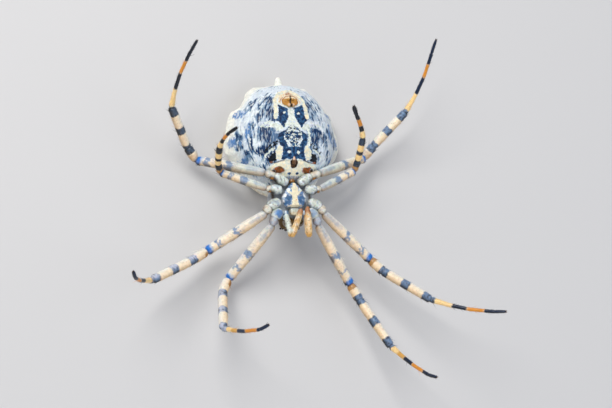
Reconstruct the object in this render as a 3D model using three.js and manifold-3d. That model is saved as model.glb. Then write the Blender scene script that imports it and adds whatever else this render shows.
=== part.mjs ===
// An adult female lobed orb weaver, life size, as a still museum model. Millimetres.
// The spider lies belly up, legs spread and curled toward the belly, as it hangs in its web:
// +Z is the belly side, -Y the head, +Y the spinnerets and +X the spider's own right side.
import * as THREE from 'three';
import { mergeVertices } from 'three/addons/utils/BufferGeometryUtils.js';
import Module from 'manifold-3d';

const wasm = await Module();
wasm.setup();

// ---- driving dimensions ---------------------------------------------------------------------

const SEAM = 0.06; // clear gap between neighbouring pieces
const SIMPLIFY = 0.008; // facets left by a cut that are finer than this are merged
const TOUCH = 1e-7; // an overlap smaller than this, in cubic millimetres, is none
const LIMB_SIDES = 12;
const FOOT_SIDES = 10; // metatarsus and tarsus
const PALP_SIDES = 8;
const SMALL_SIDES = 10; // chelicerae, tail, pedicel and epigyne
const EYE_RINGS = 4;
const RIGHT = 1;
const LEFT = -1;
const SIDES = { left: LEFT, right: RIGHT };

const ABDOMEN = {
  height: 9.4,
  rimHeight: 2.4,
  halfWidth: 8.0,
  rearReach: 8.95,
  frontReach: 8.6,
  rimCentreY: 0.6,
  crownCentreY: -0.7,
  restCentreY: -1.3,
  restShare: 0.66,
  bellyFullness: 2.6,
  backFullness: 2.2,
  lobeFade: 0.5,
  meridians: 40,
  bellyRings: 10,
  backRings: 4,
};

const ABDOMEN_RINGS = ABDOMEN.bellyRings + ABDOMEN.backRings + 1; // and one for the resting flat

// Blunt lobes around the abdomen's rim: degrees from the tail, half spread and reach.
const LOBES = [
  { angle: 31, spread: 11, reach: 0.85 },
  { angle: 67, spread: 14, reach: 1.1 },
  { angle: 100, spread: 20, reach: 1.65 },
  { angle: 153, spread: 18, reach: 0.8 },
];

const LOBE_BLUNTNESS = 3;

const TAIL = { baseY: 8.3, tipY: 10.9, height: 2.5, baseRadius: 0.8, tipRadius: 0.52 };

// Rings of the carapace from the face to the rear: y, half width, belly face and back heights.
const CARAPACE_RINGS = [
  [-14.5, 1.15, 5.55, 4.4],
  [-14.3, 1.5, 5.6, 3.9],
  [-13.8, 1.7, 5.65, 3.5],
  [-13.1, 1.9, 6.2, 3.4],
  [-12.3, 2.45, 6.75, 3.45],
  [-11.2, 3.4, 6.85, 3.5],
  [-10.1, 3.7, 6.85, 3.6],
  [-9.0, 3.55, 6.85, 3.8],
  [-8.2, 2.9, 6.8, 4.2],
  [-7.7, 1.9, 6.6, 4.8],
];

// Rings of the sternum, a heart with its point toward the abdomen: y and half width.
const STERNUM_RINGS = [
  [-11.72, 1.0],
  [-11.45, 1.5],
  [-10.8, 1.85],
  [-10.1, 1.95],
  [-9.2, 1.5],
  [-8.3, 0.75],
  [-7.8, 0.28],
];
const STERNUM = { top: 8.55, bottom: 7.0, crown: 0.35 };

const LABIUM = { frontY: -12.95, rearY: -11.82, halfWidth: 0.85, top: 8.3, bottom: 7.3 };
const ENDITE = { x: 1.42, frontY: -13.6, rearY: -12.2, halfWidth: 0.5, top: 8.25, bottom: 7.1 };

// Each chelicera runs from under the face toward the belly side.
const CHELICERA = [
  { x: 0.84, y: -13.6, z: 5.85, radius: 0.6 },
  { x: 0.9, y: -13.75, z: 6.5, radius: 0.8 },
  { x: 0.88, y: -13.85, z: 7.3, radius: 0.74 },
  { x: 0.74, y: -13.9, z: 8.0, radius: 0.5 },
];

const PEDICEL = { frontY: -7.62, rearY: -6.4, z: 7.2, radius: 0.55 };
const EPIGYNE = { rootY: -5.0, tipY: -3.75, z: 8.75, rootRadius: 0.42, tipRadius: 0.26 };

const SPINNERETS = {
  y: 5.0,
  baseZ: 7.95,
  baseRadius: 1.35,
  cones: [
    { x: 0.42, dy: -0.45, lean: 0.1, radius: 0.42, tipZ: 9.45 },
    { x: 0.4, dy: 0.35, lean: 0.15, radius: 0.36, tipZ: 9.25 },
  ],
  tubercle: { dy: 0.95, radius: 0.4, tipZ: 8.9 },
};

// Eight eyes on the front of the carapace: place and radius of one of each pair.
const EYES = [
  { name: 'front_median', x: 0.42, y: -14.56, z: 4.9, radius: 0.24 },
  { name: 'rear_median', x: 0.48, y: -14.42, z: 3.98, radius: 0.24 },
  { name: 'front_lateral', x: 1.26, y: -14.47, z: 5.05, radius: 0.17 },
  { name: 'rear_lateral', x: 1.48, y: -14.35, z: 4.55, radius: 0.18 },
];

// Palps: where the femur starts, where it bends back, and where the tip comes to rest.
const PALP_RADIUS = { femur: 0.36, knee: 0.42, tip: 0.44 };
const PALPS = {
  left: {
    root: [-1.55, -13.0, 8.45],
    knee: [-1.12, -16.4, 9.1],
    back: [-0.9, -16.05, 9.6],
    tip: [0.72, -12.2, 9.15],
  },
  right: {
    root: [1.6, -13.0, 8.45],
    knee: [1.72, -16.3, 8.95],
    back: [1.68, -16.05, 9.6],
    tip: [1.66, -11.9, 9.3],
  },
};

// Leg pairs 1 to 4, front to rear. Coxa and trochanter points are x and y of the right side.
const LEG_PAIRS = {
  1: {
    coxa: { inner: [2.05, -11.95], outer: [3.42, -13.28], radius: 0.72 },
    hip: [3.64, -14.5, 7.9],
    lengths: { femur: 11.1, patella: 2.85, tibia: 8.95, metatarsus: 10.35, tarsus: 2.1 },
    radii: { femur: 0.8, patella: 0.76, tibia: 0.72, metatarsus: 0.44, tarsus: 0.29 },
  },
  2: {
    coxa: { inner: [2.1, -10.5], outer: [4.2, -11.6], radius: 0.74 },
    hip: [4.67, -12.65, 7.9],
    lengths: { femur: 10.85, patella: 2.75, tibia: 8.7, metatarsus: 10.6, tarsus: 1.8 },
    radii: { femur: 0.8, patella: 0.76, tibia: 0.72, metatarsus: 0.44, tarsus: 0.29 },
  },
  3: {
    coxa: { inner: [1.68, -8.9], outer: [3.7, -8.85], radius: 0.68 },
    hip: [4.34, -8.72, 7.95],
    lengths: { femur: 7.65, patella: 1.9, tibia: 3.85, metatarsus: 4.35, tarsus: 1.9 },
    radii: { femur: 0.64, patella: 0.52, tibia: 0.52, metatarsus: 0.41, tarsus: 0.32 },
  },
  4: {
    coxa: { inner: [0.72, -8.0], outer: [2.9, -6.75], radius: 0.74 },
    hip: [4.39, -6.25, 7.8],
    lengths: { femur: 11.3, patella: 2.6, tibia: 7.35, metatarsus: 10.5, tarsus: 2.35 },
    radii: { femur: 0.77, patella: 0.72, tibia: 0.7, metatarsus: 0.42, tarsus: 0.28 },
  },
};

// Pose of each leg, femur to tarsus: heading in degrees from straight out to the side
// (positive toward the tail) and rise in degrees toward the belly side.
const LEG_POSES = {
  left: {
    1: [[-51, -31], [-59, 26], [-76, 42], [-151, 70], [152, 59]],
    2: [[-31, -21], [-33, 21], [-27, 20], [-16, 64], [53, 57]],
    3: [[24, -17], [57, 50], [75, 61], [117, 71], [155, 55]],
    4: [[18, -26], [50, 18], [59, 34], [104, 48], [117, 60]],
  },
  right: {
    1: [[-56, -19], [-62, 2], [-63, 15], [-63, 53], [-43, 65]],
    2: [[-40, -14], [-47, 9], [-36, 16], [-19, 32], [-6, 38]],
    3: [[28, -16], [77, 36], [85, 38], [119, 35], [122, 37]],
    4: [[23, -27], [52, 25], [46, 25], [68, 25], [73, 22]],
  },
};

// Girth along each segment: share of its length against share of its radius.
const GIRTH = {
  femur: [[0, 0.78], [0.08, 0.88], [0.3, 1], [0.6, 1], [0.85, 0.92], [0.95, 0.95], [1, 0.84]],
  patella: [[0, 0.84], [0.25, 0.98], [0.7, 1], [1, 0.9]],
  tibia: [[0, 0.86], [0.2, 1], [0.5, 0.99], [0.85, 0.94], [1, 0.84]],
  metatarsus: [[0, 1.1], [0.06, 1.08], [0.28, 0.84], [0.6, 0.72], [0.94, 0.7], [1, 0.68]],
  tarsus: [[0, 1], [0.55, 0.97], [0.88, 0.8], [1, 0.45]],
};

// How far the metatarsus bows outward at its middle, as a share of its length.
const METATARSUS_BOW = 0.045;

const COLOURS = {
  cuticle: '#e6dcc4',
  limb: '#ddcfae',
  belly: '#c9ccd2',
  brown: '#6d4a1f',
  palp: '#e0b878',
  eye: '#120d0b',
};

const SEGMENTS = ['femur', 'patella', 'tibia', 'metatarsus', 'tarsus'];
const NEAR_JOINT = 0.12; // share of a segment near a joint whose rings lie in the joint's plane

// The pieces that each leg is divided into beyond its coxa.
const LEG_SPANS = {
  femur: { names: ['femur'], colour: COLOURS.limb, sides: LIMB_SIDES },
  tibia: { names: ['patella', 'tibia'], colour: COLOURS.limb, sides: LIMB_SIDES },
  foot: { names: ['metatarsus', 'tarsus'], colour: COLOURS.palp, sides: FOOT_SIDES },
};

// ---- solids ---------------------------------------------------------------------------------

/** Turns a closed geometry into a solid that can be joined and cut. */
function toSolid(geometry) {
  const bare = geometry.clone();
  bare.deleteAttribute('normal');
  bare.deleteAttribute('uv');
  const merged = mergeVertices(bare, 1e-5);
  return new wasm.Manifold(new wasm.Mesh({
    numProp: 3,
    vertProperties: new Float32Array(merged.attributes.position.array),
    triVerts: new Uint32Array(merged.index.array),
  }));
}

/** Turns a solid back into a geometry for a mesh. */
function toGeometry(solid) {
  const mesh = solid.getMesh();
  const geometry = new THREE.BufferGeometry();
  geometry.setAttribute('position', new THREE.BufferAttribute(new Float32Array(mesh.vertProperties), 3));
  geometry.setIndex(new THREE.BufferAttribute(new Uint32Array(mesh.triVerts), 1));
  geometry.computeVertexNormals();
  return geometry;
}

/** The largest connected body of a solid. */
function mainBody(solid) {
  return solid.decompose().reduce((best, body) => (body.volume() > best.volume() ? body : best));
}

/**
 * Skins a row of stations, each a closed ring, with a closed surface.
 * place(station, across, up) gives the point of a ring in the direction (across, up).
 */
function loft(stations, sides, place) {
  const last = stations.length - 1;
  const geometry = new THREE.CylinderGeometry(1, 1, 1, sides, last);
  const position = geometry.attributes.position;
  for (let i = 0; i < position.count; i += 1) {
    const station = stations[Math.round((0.5 - position.getY(i)) * last)];
    const point = place(station, position.getX(i), position.getZ(i));
    position.setXYZ(i, point.x, point.y, point.z);
  }
  return geometry;
}

/** A superellipse: the point at a direction of the unit circle, squared up by the power. */
function squaredUp(value, power) {
  return Math.sign(value) * Math.abs(value) ** (2 / power);
}

/** Rings square to the Y axis, with a half width and heights above and below a middle line. */
function plateAlongY(rings, sides) {
  return loft(rings, sides, (ring, across, up) => new THREE.Vector3(
    ring.x - ring.halfWidth * squaredUp(across, ring.power),
    ring.y,
    ring.middle + (up > 0 ? ring.above : ring.below) * squaredUp(up, ring.power),
  ));
}

/**
 * A round limb along joints: each ring lies in its own plane, so bends are mitred.
 * Stations have a centre, a direction of travel, a plane and a radius.
 */
function limb(stations, sides) {
  let across = new THREE.Vector3(0, 0, 1).cross(stations[0].direction);
  if (across.length() < 0.1) across = new THREE.Vector3(1, 0, 0);
  for (const station of stations) {
    across = across.clone().addScaledVector(station.direction, -across.dot(station.direction)).normalize();
    station.across = across;
    station.up = station.direction.clone().cross(across);
  }
  return loft(stations, sides, (station, x, z) => {
    const { centre, direction, plane, radius } = station;
    const offset = station.across.clone().multiplyScalar(x * radius).addScaledVector(station.up, z * radius);
    const slide = -offset.dot(plane) / direction.dot(plane);
    return centre.clone().add(offset).addScaledVector(direction, slide);
  });
}

/** A limb through free points with a radius at each, square at both ends. */
function limbThrough(points, radii, sides) {
  const centres = points.map((point) => new THREE.Vector3(...point));
  const stations = centres.map((centre, i) => {
    const before = centres[Math.max(i - 1, 0)];
    const after = centres[Math.min(i + 1, centres.length - 1)];
    const direction = after.clone().sub(before).normalize();
    return { centre, direction, plane: direction, radius: radii[i] };
  });
  return limb(stations, sides);
}

/** A ball, used for eyes and rounded ends. */
function ball(x, y, z, radius, rings) {
  const geometry = new THREE.SphereGeometry(radius, rings * 2, rings);
  geometry.translate(x, y, z);
  return geometry;
}

// ---- fitting pieces together ----------------------------------------------------------------

const spider = new THREE.Group();
const fitted = []; // solids of the pieces added so far, each swollen by the seam

/** Whether two boxes of solids meet. */
function boxesMeet(a, b) {
  const first = a.boundingBox();
  const second = b.boundingBox();
  return [0, 1, 2].every((k) => first.min[k] < second.max[k] && second.min[k] < first.max[k]);
}

/** Adds a named piece; build(grow) gives its solid, swollen by grow, and neighbours trim it. */
function addPiece(name, colour, build) {
  let solid = build(0);
  for (const neighbour of fitted) {
    if (boxesMeet(solid, neighbour) && solid.intersect(neighbour).volume() > TOUCH) {
      solid = mainBody(solid.subtract(neighbour).simplify(SIMPLIFY));
    }
  }
  fitted.push(build(SEAM));
  const material = new THREE.MeshStandardMaterial({ color: colour, roughness: 0.6, metalness: 0 });
  const mesh = new THREE.Mesh(toGeometry(solid), material);
  mesh.name = name;
  spider.add(mesh);
}

// ---- body -----------------------------------------------------------------------------------

/** Distance from the rim's centre to the rim, at an angle from the tail, with its lobes. */
function rimRadius(angle, lobeShare) {
  const reach = Math.cos(angle) > 0 ? ABDOMEN.rearReach : ABDOMEN.frontReach;
  const oval = 1 / Math.hypot(Math.sin(angle) / ABDOMEN.halfWidth, Math.cos(angle) / reach);
  const degrees = THREE.MathUtils.radToDeg(Math.abs(angle));
  const bulge = LOBES.reduce((sum, lobe) => (
    sum + lobe.reach * Math.exp(-(Math.abs((degrees - lobe.angle) / lobe.spread) ** LOBE_BLUNTNESS))
  ), 0);
  return oval + bulge * lobeShare;
}

/** Shape of the abdomen at one level, from 0 at the crown of the belly to 1 at the back. */
function abdomenLevel(level) {
  const rimLevel = ABDOMEN.bellyRings / ABDOMEN_RINGS;
  const flatLevel = (ABDOMEN.bellyRings + ABDOMEN.backRings) / ABDOMEN_RINGS;
  if (level <= rimLevel) {
    const turn = (level / rimLevel) * (Math.PI / 2);
    const share = Math.sin(turn) ** (2 / ABDOMEN.bellyFullness);
    const climb = Math.cos(turn) ** (2 / ABDOMEN.bellyFullness);
    return {
      share,
      z: ABDOMEN.rimHeight + (ABDOMEN.height - ABDOMEN.rimHeight) * climb,
      lobeShare: Math.max(0, 1 - climb / ABDOMEN.lobeFade) ** 1.5,
      centreY: THREE.MathUtils.lerp(ABDOMEN.rimCentreY, ABDOMEN.crownCentreY, climb),
    };
  }
  const turn = Math.min(1, (level - rimLevel) / (flatLevel - rimLevel)) * (Math.PI / 2);
  const fall = Math.sin(turn) ** (2 / ABDOMEN.backFullness);
  const climb = Math.cos(turn) ** (2 / ABDOMEN.backFullness);
  const onFlat = level > flatLevel + 1e-6;
  return {
    share: onFlat ? 0 : THREE.MathUtils.lerp(ABDOMEN.restShare, 1, climb),
    z: level > flatLevel - 1e-6 ? 0 : ABDOMEN.rimHeight * (1 - fall),
    lobeShare: 1 - fall,
    centreY: THREE.MathUtils.lerp(ABDOMEN.rimCentreY, ABDOMEN.restCentreY, fall),
  };
}

/** The abdomen: a full belly over a lobed rim, flat where the back rests on the floor. */
function abdomenSolid(grow) {
  const geometry = new THREE.SphereGeometry(1, ABDOMEN.meridians, ABDOMEN_RINGS);
  const position = geometry.attributes.position;
  for (let i = 0; i < position.count; i += 1) {
    const polar = Math.acos(THREE.MathUtils.clamp(position.getY(i), -1, 1));
    const shape = abdomenLevel(Math.round((polar / Math.PI) * ABDOMEN_RINGS) / ABDOMEN_RINGS);
    const angle = Math.atan2(position.getX(i), -position.getZ(i));
    const radius = shape.share * (rimRadius(angle, shape.lobeShare) + grow);
    position.setXYZ(i, radius * Math.sin(angle), shape.centreY + radius * Math.cos(angle),
      shape.z + (shape.z > 0 ? grow : -grow) * (1 - shape.share));
  }
  const { baseY, tipY, height, baseRadius, tipRadius } = TAIL;
  const tail = limbThrough(
    [[0, baseY, height], [0, tipY - 0.5, height], [0, tipY - 0.12, height], [0, tipY, height]],
    [baseRadius, tipRadius, tipRadius * 0.8, tipRadius * 0.4].map((radius) => radius + grow),
    SMALL_SIDES,
  );
  return toSolid(geometry).add(toSolid(tail));
}

/** The carapace: head and thorax in one shell, domed on the back side. */
function carapaceSolid(grow) {
  const rings = CARAPACE_RINGS.map(([y, halfWidth, belly, back], i) => {
    const middle = belly - (belly - back) * 0.3;
    const end = i === 0 ? -grow : i === CARAPACE_RINGS.length - 1 ? grow : 0;
    return {
      x: 0, y: y + end, halfWidth: halfWidth + grow, middle,
      above: belly - middle + grow, below: middle - back + grow, power: 2.5,
    };
  });
  return toSolid(plateAlongY(rings, 20));
}

/** The sternum: a slightly domed heart-shaped plate. */
function sternumSolid(grow) {
  const last = STERNUM_RINGS.length - 1;
  const rings = STERNUM_RINGS.map(([y, halfWidth], i) => {
    const edge = i === 0 || i === last;
    const top = STERNUM.top - (edge ? STERNUM.crown : 0);
    const middle = (top + STERNUM.bottom) / 2;
    return {
      x: 0, y: y + (i === 0 ? -grow : 0) + (i === last ? grow : 0), halfWidth: halfWidth + grow, middle,
      above: top - middle + grow, below: middle - STERNUM.bottom + grow, power: 3,
    };
  });
  return toSolid(plateAlongY(rings, 16));
}

/** A small rounded plate, for the labium and the endites. */
function mouthPlateSolid(plate, x, grow) {
  const middle = (plate.top + plate.bottom) / 2;
  const half = (plate.top - plate.bottom) / 2;
  const length = plate.rearY - plate.frontY;
  const shares = [[0, 0.55, 0.6], [0.12, 0.85, 0.9], [0.5, 1, 1], [0.88, 0.95, 0.95], [1, 0.75, 0.7]];
  const rings = shares.map(([along, wide, thick], i) => ({
    x,
    y: plate.frontY + length * along + (i === 0 ? -grow : 0) + (i === shares.length - 1 ? grow : 0),
    halfWidth: plate.halfWidth * wide + grow,
    middle,
    above: half * thick + grow,
    below: half * thick + grow,
    power: 2.6,
  }));
  return toSolid(plateAlongY(rings, 12));
}

/** A chelicera of one side. */
function cheliceraSolid(side, grow) {
  const points = CHELICERA.map(({ x, y, z }) => [side * x, y, z]);
  points[0][2] -= grow;
  points[points.length - 1][2] += grow;
  return toSolid(limbThrough(points, CHELICERA.map(({ radius }) => radius + grow), SMALL_SIDES));
}

/** A palp: its femur runs forward and the rest folds back over it toward the mouth. */
function palpSolid(pose, grow) {
  const { femur, knee, tip } = PALP_RADIUS;
  const along = (a, b, share) => a.map((value, k) => value + (b[k] - value) * share);
  const thigh = limbThrough(
    [pose.root, along(pose.root, pose.knee, 0.2), along(pose.root, pose.knee, 0.9), pose.knee],
    [femur * 0.7, femur, knee, knee * 0.75].map((r) => r + grow),
    PALP_SIDES,
  );
  const foot = limbThrough(
    [along(pose.back, pose.tip, -0.06), along(pose.back, pose.tip, 0.06), along(pose.back, pose.tip, 0.6),
      along(pose.back, pose.tip, 0.9), pose.tip],
    [knee * 0.7, knee, tip, tip * 0.8, tip * 0.35].map((r) => r + grow),
    PALP_SIDES,
  );
  const elbow = ball(...along(pose.knee, pose.back, 0.5), knee * 1.05 + grow, 4);
  return toSolid(thigh).add(toSolid(foot)).add(toSolid(elbow));
}

/** The short stalk between the carapace and the abdomen. */
function pedicelSolid(grow) {
  const { frontY, rearY, z, radius } = PEDICEL;
  return toSolid(limbThrough([[0, frontY, z], [0, rearY, z]], [radius + grow, radius + grow], SMALL_SIDES));
}

/** The scape of the epigyne, a small tongue lying along the belly. */
function epigyneSolid(grow) {
  const { rootY, tipY, z, rootRadius, tipRadius } = EPIGYNE;
  const points = [
    [0, rootY, z],
    [0, (rootY + tipY) / 2, z + 0.2],
    [0, tipY - 0.1, z + 0.28],
    [0, tipY, z + 0.3],
  ];
  const radii = [rootRadius, (rootRadius + tipRadius) / 2, tipRadius, tipRadius * 0.5];
  return toSolid(limbThrough(points, radii.map((radius) => radius + grow), SMALL_SIDES));
}

/** The spinnerets: four cones on a low mound, with the anal tubercle behind them. */
function spinneretsSolid(grow) {
  const { y, baseZ, baseRadius, cones, tubercle } = SPINNERETS;
  const cone = (x, footY, radius, tipZ, lean) => toSolid(limbThrough(
    [[x, footY, baseZ], [x * 0.75, footY + lean, tipZ - 0.25], [x * 0.7, footY + lean, tipZ]],
    [radius + grow, radius * 0.75 + grow, radius * 0.35 + grow],
    6,
  ));
  let solid = toSolid(limbThrough(
    [[0, y, baseZ], [0, y, baseZ + 0.6], [0, y, baseZ + 0.82]],
    [baseRadius + grow, baseRadius + grow, baseRadius * 0.8 + grow],
    14,
  ));
  for (const side of Object.values(SIDES)) {
    for (const { x, dy, radius, tipZ, lean } of cones) {
      solid = solid.add(cone(side * x, y + dy, radius, tipZ, dy > 0 ? lean : -lean));
    }
  }
  return solid.add(cone(0, y + tubercle.dy, tubercle.radius, tubercle.tipZ, 0));
}

// ---- legs -----------------------------------------------------------------------------------

/** Unit direction of a leg segment from its heading and rise. */
function segmentDirection(side, [heading, rise]) {
  const turn = THREE.MathUtils.degToRad(heading);
  const tilt = THREE.MathUtils.degToRad(rise);
  const level = Math.cos(tilt);
  return new THREE.Vector3(side * Math.cos(turn) * level, Math.sin(turn) * level, Math.sin(tilt));
}

/** Rings of one leg segment, with each end in its joint's plane; bow bends it off its chord. */
function segmentStations(layout, index, bow, radius, girth, grow) {
  const start = layout.joints[index];
  const end = layout.joints[index + 1];
  const direction = layout.directions[index];
  const planeAt = (along) => {
    if (along < NEAR_JOINT) return layout.planes[index];
    return along > 1 - NEAR_JOINT ? layout.planes[index + 1] : direction;
  };
  return girth.map(([along, wide]) => ({
    centre: start.clone().lerp(end, along).addScaledVector(bow, 4 * along * (1 - along)),
    direction,
    plane: planeAt(along),
    radius: radius * wide + grow,
  }));
}

/** How far and which way the metatarsus bows: away from the side it flexes to. */
function metatarsusBow(layout, pair) {
  const tibia = layout.directions[SEGMENTS.indexOf('tibia')];
  const along = layout.directions[SEGMENTS.indexOf('metatarsus')];
  const outward = tibia.clone().addScaledVector(along, -tibia.dot(along)).normalize();
  return outward.multiplyScalar(pair.lengths.metatarsus * METATARSUS_BOW);
}

/** The plane halfway between two directions, given by its normal. */
function mitre(before, after) {
  return before.clone().add(after).normalize();
}

/** Moves the end rings of a limb apart or together along its own directions. */
function trimEnds(stations, atStart, atEnd) {
  const first = stations[0];
  const last = stations[stations.length - 1];
  first.centre = first.centre.clone().addScaledVector(first.direction, atStart);
  last.centre = last.centre.clone().addScaledVector(last.direction, -atEnd);
  return stations;
}

/** Joints, directions and mitre planes of one leg from its hip to its tip. */
function legLayout(side, pair, pose) {
  const hip = new THREE.Vector3(side * pair.hip[0], pair.hip[1], pair.hip[2]);
  const joints = [hip];
  const directions = pose.map((angles) => segmentDirection(side, angles));
  Object.values(pair.lengths).forEach((length, i) => {
    joints.push(joints[i].clone().addScaledVector(directions[i], length));
  });
  const coxaOuter = new THREE.Vector3(side * pair.coxa.outer[0], pair.coxa.outer[1], hip.z);
  const coxaInner = new THREE.Vector3(side * pair.coxa.inner[0], pair.coxa.inner[1], hip.z);
  const trochanter = hip.clone().sub(coxaOuter).normalize();
  const planes = [mitre(trochanter, directions[0])];
  for (let i = 1; i < directions.length; i += 1) planes.push(mitre(directions[i - 1], directions[i]));
  planes.push(directions[directions.length - 1]);
  return { coxaInner, coxaOuter, trochanter, joints, directions, planes };
}

/** Coxa and trochanter of one leg, from the sternum's edge to the hip. */
function coxaSolid(layout, pair, grow) {
  const { coxaInner, coxaOuter, trochanter, joints, planes } = layout;
  const radius = pair.coxa.radius;
  const coxa = coxaOuter.clone().sub(coxaInner).normalize();
  const length = coxaOuter.distanceTo(coxaInner);
  const bend = mitre(coxa, trochanter);
  const hipRadius = pair.radii.femur * 0.8;
  const at = (share) => coxaInner.clone().addScaledVector(coxa, length * share);
  const stations = [
    { centre: at(0), direction: coxa, plane: coxa, radius: radius * 0.8 + grow },
    { centre: at(0.15), direction: coxa, plane: coxa, radius: radius * 0.95 + grow },
    { centre: at(0.65), direction: coxa, plane: coxa, radius: radius + grow },
    { centre: coxaOuter, direction: coxa, plane: bend, radius: radius * 0.86 + grow },
    { centre: joints[0].clone(), direction: trochanter, plane: planes[0], radius: hipRadius + grow },
  ];
  return toSolid(limb(trimEnds(stations, -grow, SEAM / 2 - grow), LIMB_SIDES));
}

/** Stations of the leg segments from one to another, both included, as one bent body. */
function legSpan(layout, pair, names, grow) {
  const stations = [];
  names.forEach((name, k) => {
    const bow = name === 'metatarsus' ? metatarsusBow(layout, pair) : new THREE.Vector3();
    const segment = segmentStations(layout, SEGMENTS.indexOf(name), bow, pair.radii[name], GIRTH[name], grow);
    if (k > 0) segment.shift();
    stations.push(...segment);
  });
  return stations;
}

/** One span of a leg, kept clear of the spans before and after it. */
function legSpanSolid(layout, pair, names, sides, grow) {
  const stations = legSpan(layout, pair, names, grow);
  return toSolid(limb(trimEnds(stations, SEAM / 2 - grow, SEAM / 2 - grow), sides));
}

// ---- assembly -------------------------------------------------------------------------------

addPiece('carapace', COLOURS.cuticle, carapaceSolid);
addPiece('sternum', COLOURS.cuticle, sternumSolid);
addPiece('abdomen', COLOURS.belly, abdomenSolid);
addPiece('labium', COLOURS.cuticle, (grow) => mouthPlateSolid(LABIUM, 0, grow));
for (const [sideName, side] of Object.entries(SIDES)) {
  for (const [number, pair] of Object.entries(LEG_PAIRS)) {
    const layout = legLayout(side, pair, LEG_POSES[sideName][number]);
    const leg = `leg_${sideName}_${number}`;
    addPiece(`${leg}_coxa`, COLOURS.cuticle, (grow) => coxaSolid(layout, pair, grow));
    for (const [span, { names, colour, sides }] of Object.entries(LEG_SPANS)) {
      addPiece(`${leg}_${span}`, colour, (grow) => legSpanSolid(layout, pair, names, sides, grow));
    }
  }
  addPiece(`endite_${sideName}`, COLOURS.palp, (grow) => mouthPlateSolid(ENDITE, side * ENDITE.x, grow));
  addPiece(`chelicera_${sideName}`, COLOURS.brown, (grow) => cheliceraSolid(side, grow));
  addPiece(`palp_${sideName}`, COLOURS.palp, (grow) => palpSolid(PALPS[sideName], grow));
  for (const eye of EYES) {
    addPiece(`eye_${sideName}_${eye.name}`, COLOURS.eye,
      (grow) => toSolid(ball(side * eye.x, eye.y, eye.z, eye.radius + grow, EYE_RINGS)));
  }
}
addPiece('pedicel', COLOURS.cuticle, pedicelSolid);
addPiece('epigyne', COLOURS.palp, epigyneSolid);
addPiece('spinnerets', COLOURS.brown, spinneretsSolid);

// The origin is under the middle of the spider's box, on the floor.
const box = new THREE.Box3().setFromObject(spider);
const middle = box.getCenter(new THREE.Vector3());
for (const mesh of spider.children) mesh.geometry.translate(-middle.x, -middle.y, -box.min.z);

export default spider;
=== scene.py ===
"""Looks of a life-size adult female lobed orb weaver, lying belly up with her legs spread.

Lengths named in millimetres are in the spider's own frame: x is her right side, y the tail,
z the belly side, with the middle of the abdomen's rim near the origin and the floor at z = 0.
"""

import itertools
import logging
import math
from collections.abc import Callable, Sequence
from dataclasses import dataclass, field
from enum import Enum

import bpy
import numpy as np
from mathutils import Matrix, Vector


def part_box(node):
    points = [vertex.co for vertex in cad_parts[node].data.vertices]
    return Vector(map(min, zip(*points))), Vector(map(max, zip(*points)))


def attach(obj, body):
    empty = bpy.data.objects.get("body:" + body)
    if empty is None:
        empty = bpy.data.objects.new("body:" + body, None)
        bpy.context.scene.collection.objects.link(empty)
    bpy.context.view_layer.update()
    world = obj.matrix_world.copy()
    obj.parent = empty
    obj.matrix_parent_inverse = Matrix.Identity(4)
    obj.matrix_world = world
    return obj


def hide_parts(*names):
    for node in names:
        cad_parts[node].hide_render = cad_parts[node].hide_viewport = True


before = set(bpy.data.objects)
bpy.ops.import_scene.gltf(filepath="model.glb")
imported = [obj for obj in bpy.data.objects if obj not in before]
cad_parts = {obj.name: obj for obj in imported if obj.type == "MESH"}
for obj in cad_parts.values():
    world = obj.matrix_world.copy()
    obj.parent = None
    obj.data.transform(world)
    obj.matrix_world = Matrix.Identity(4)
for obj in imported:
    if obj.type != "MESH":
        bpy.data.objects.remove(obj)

MM = 0.001
TAIL_TIP_Y = 10.9  # how far the tail lobe's tip lies behind the middle of the abdomen, mm
SEED = 11
PIGMENT = "Pigment"  # colour painted on each skin's vertices
LIE = "Lie"  # the way that hair lies on a skin
COAT = "Coat"  # how thick the hair grows
UNWRAP = "Unwrap"  # the skin's own unwrap, which hair takes its place from
BAKE_MAP = "OFBake"  # the map that each hair's own patch of the skin's unwrap is stored on
TUFT_PATCH = 0.003  # how much of that map each hair takes

log = logging.getLogger("orb_weaver")


class Side(Enum):
    """Which side of the spider a piece is on."""

    LEFT = -1
    RIGHT = 1

    @property
    def word(self) -> str:
        """The side's name as the nodes have it."""
        return self.name.lower()


# ---- places --------------------------------------------------------------------------------


@dataclass(frozen=True)
class BodyFrame:
    """Turns places in the spider's own millimetres into places in the row's frame, and back."""

    middle: Vector

    @classmethod
    def from_abdomen(cls) -> "BodyFrame":
        """Finds the spider's middle line and middle from the abdomen's box."""
        low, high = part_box("abdomen")
        return cls(Vector(((low.x + high.x) / 2, high.y - TAIL_TIP_Y * MM, 0.0)))

    def at(self, x: float, y: float, z: float) -> Vector:
        """A place in the row's frame from the spider's own millimetres."""
        return self.middle + Vector((x, y, z)) * MM

    def own(self, points: np.ndarray) -> np.ndarray:
        """The spider's own millimetres of many places in the row's frame."""
        return (points - np.array(self.middle)) / MM


BODY = BodyFrame.from_abdomen()


def smooth_step(low: float, high: float, value: np.ndarray) -> np.ndarray:
    """Eases from 0 at low to 1 at high.

    Args:
        low: where the step starts.
        high: where it ends.
        value: numbers to ease.

    Returns:
        Shares between 0 and 1.
    """
    share = np.clip((value - low) / (high - low), 0.0, 1.0)
    return share * share * (3 - 2 * share)


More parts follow.
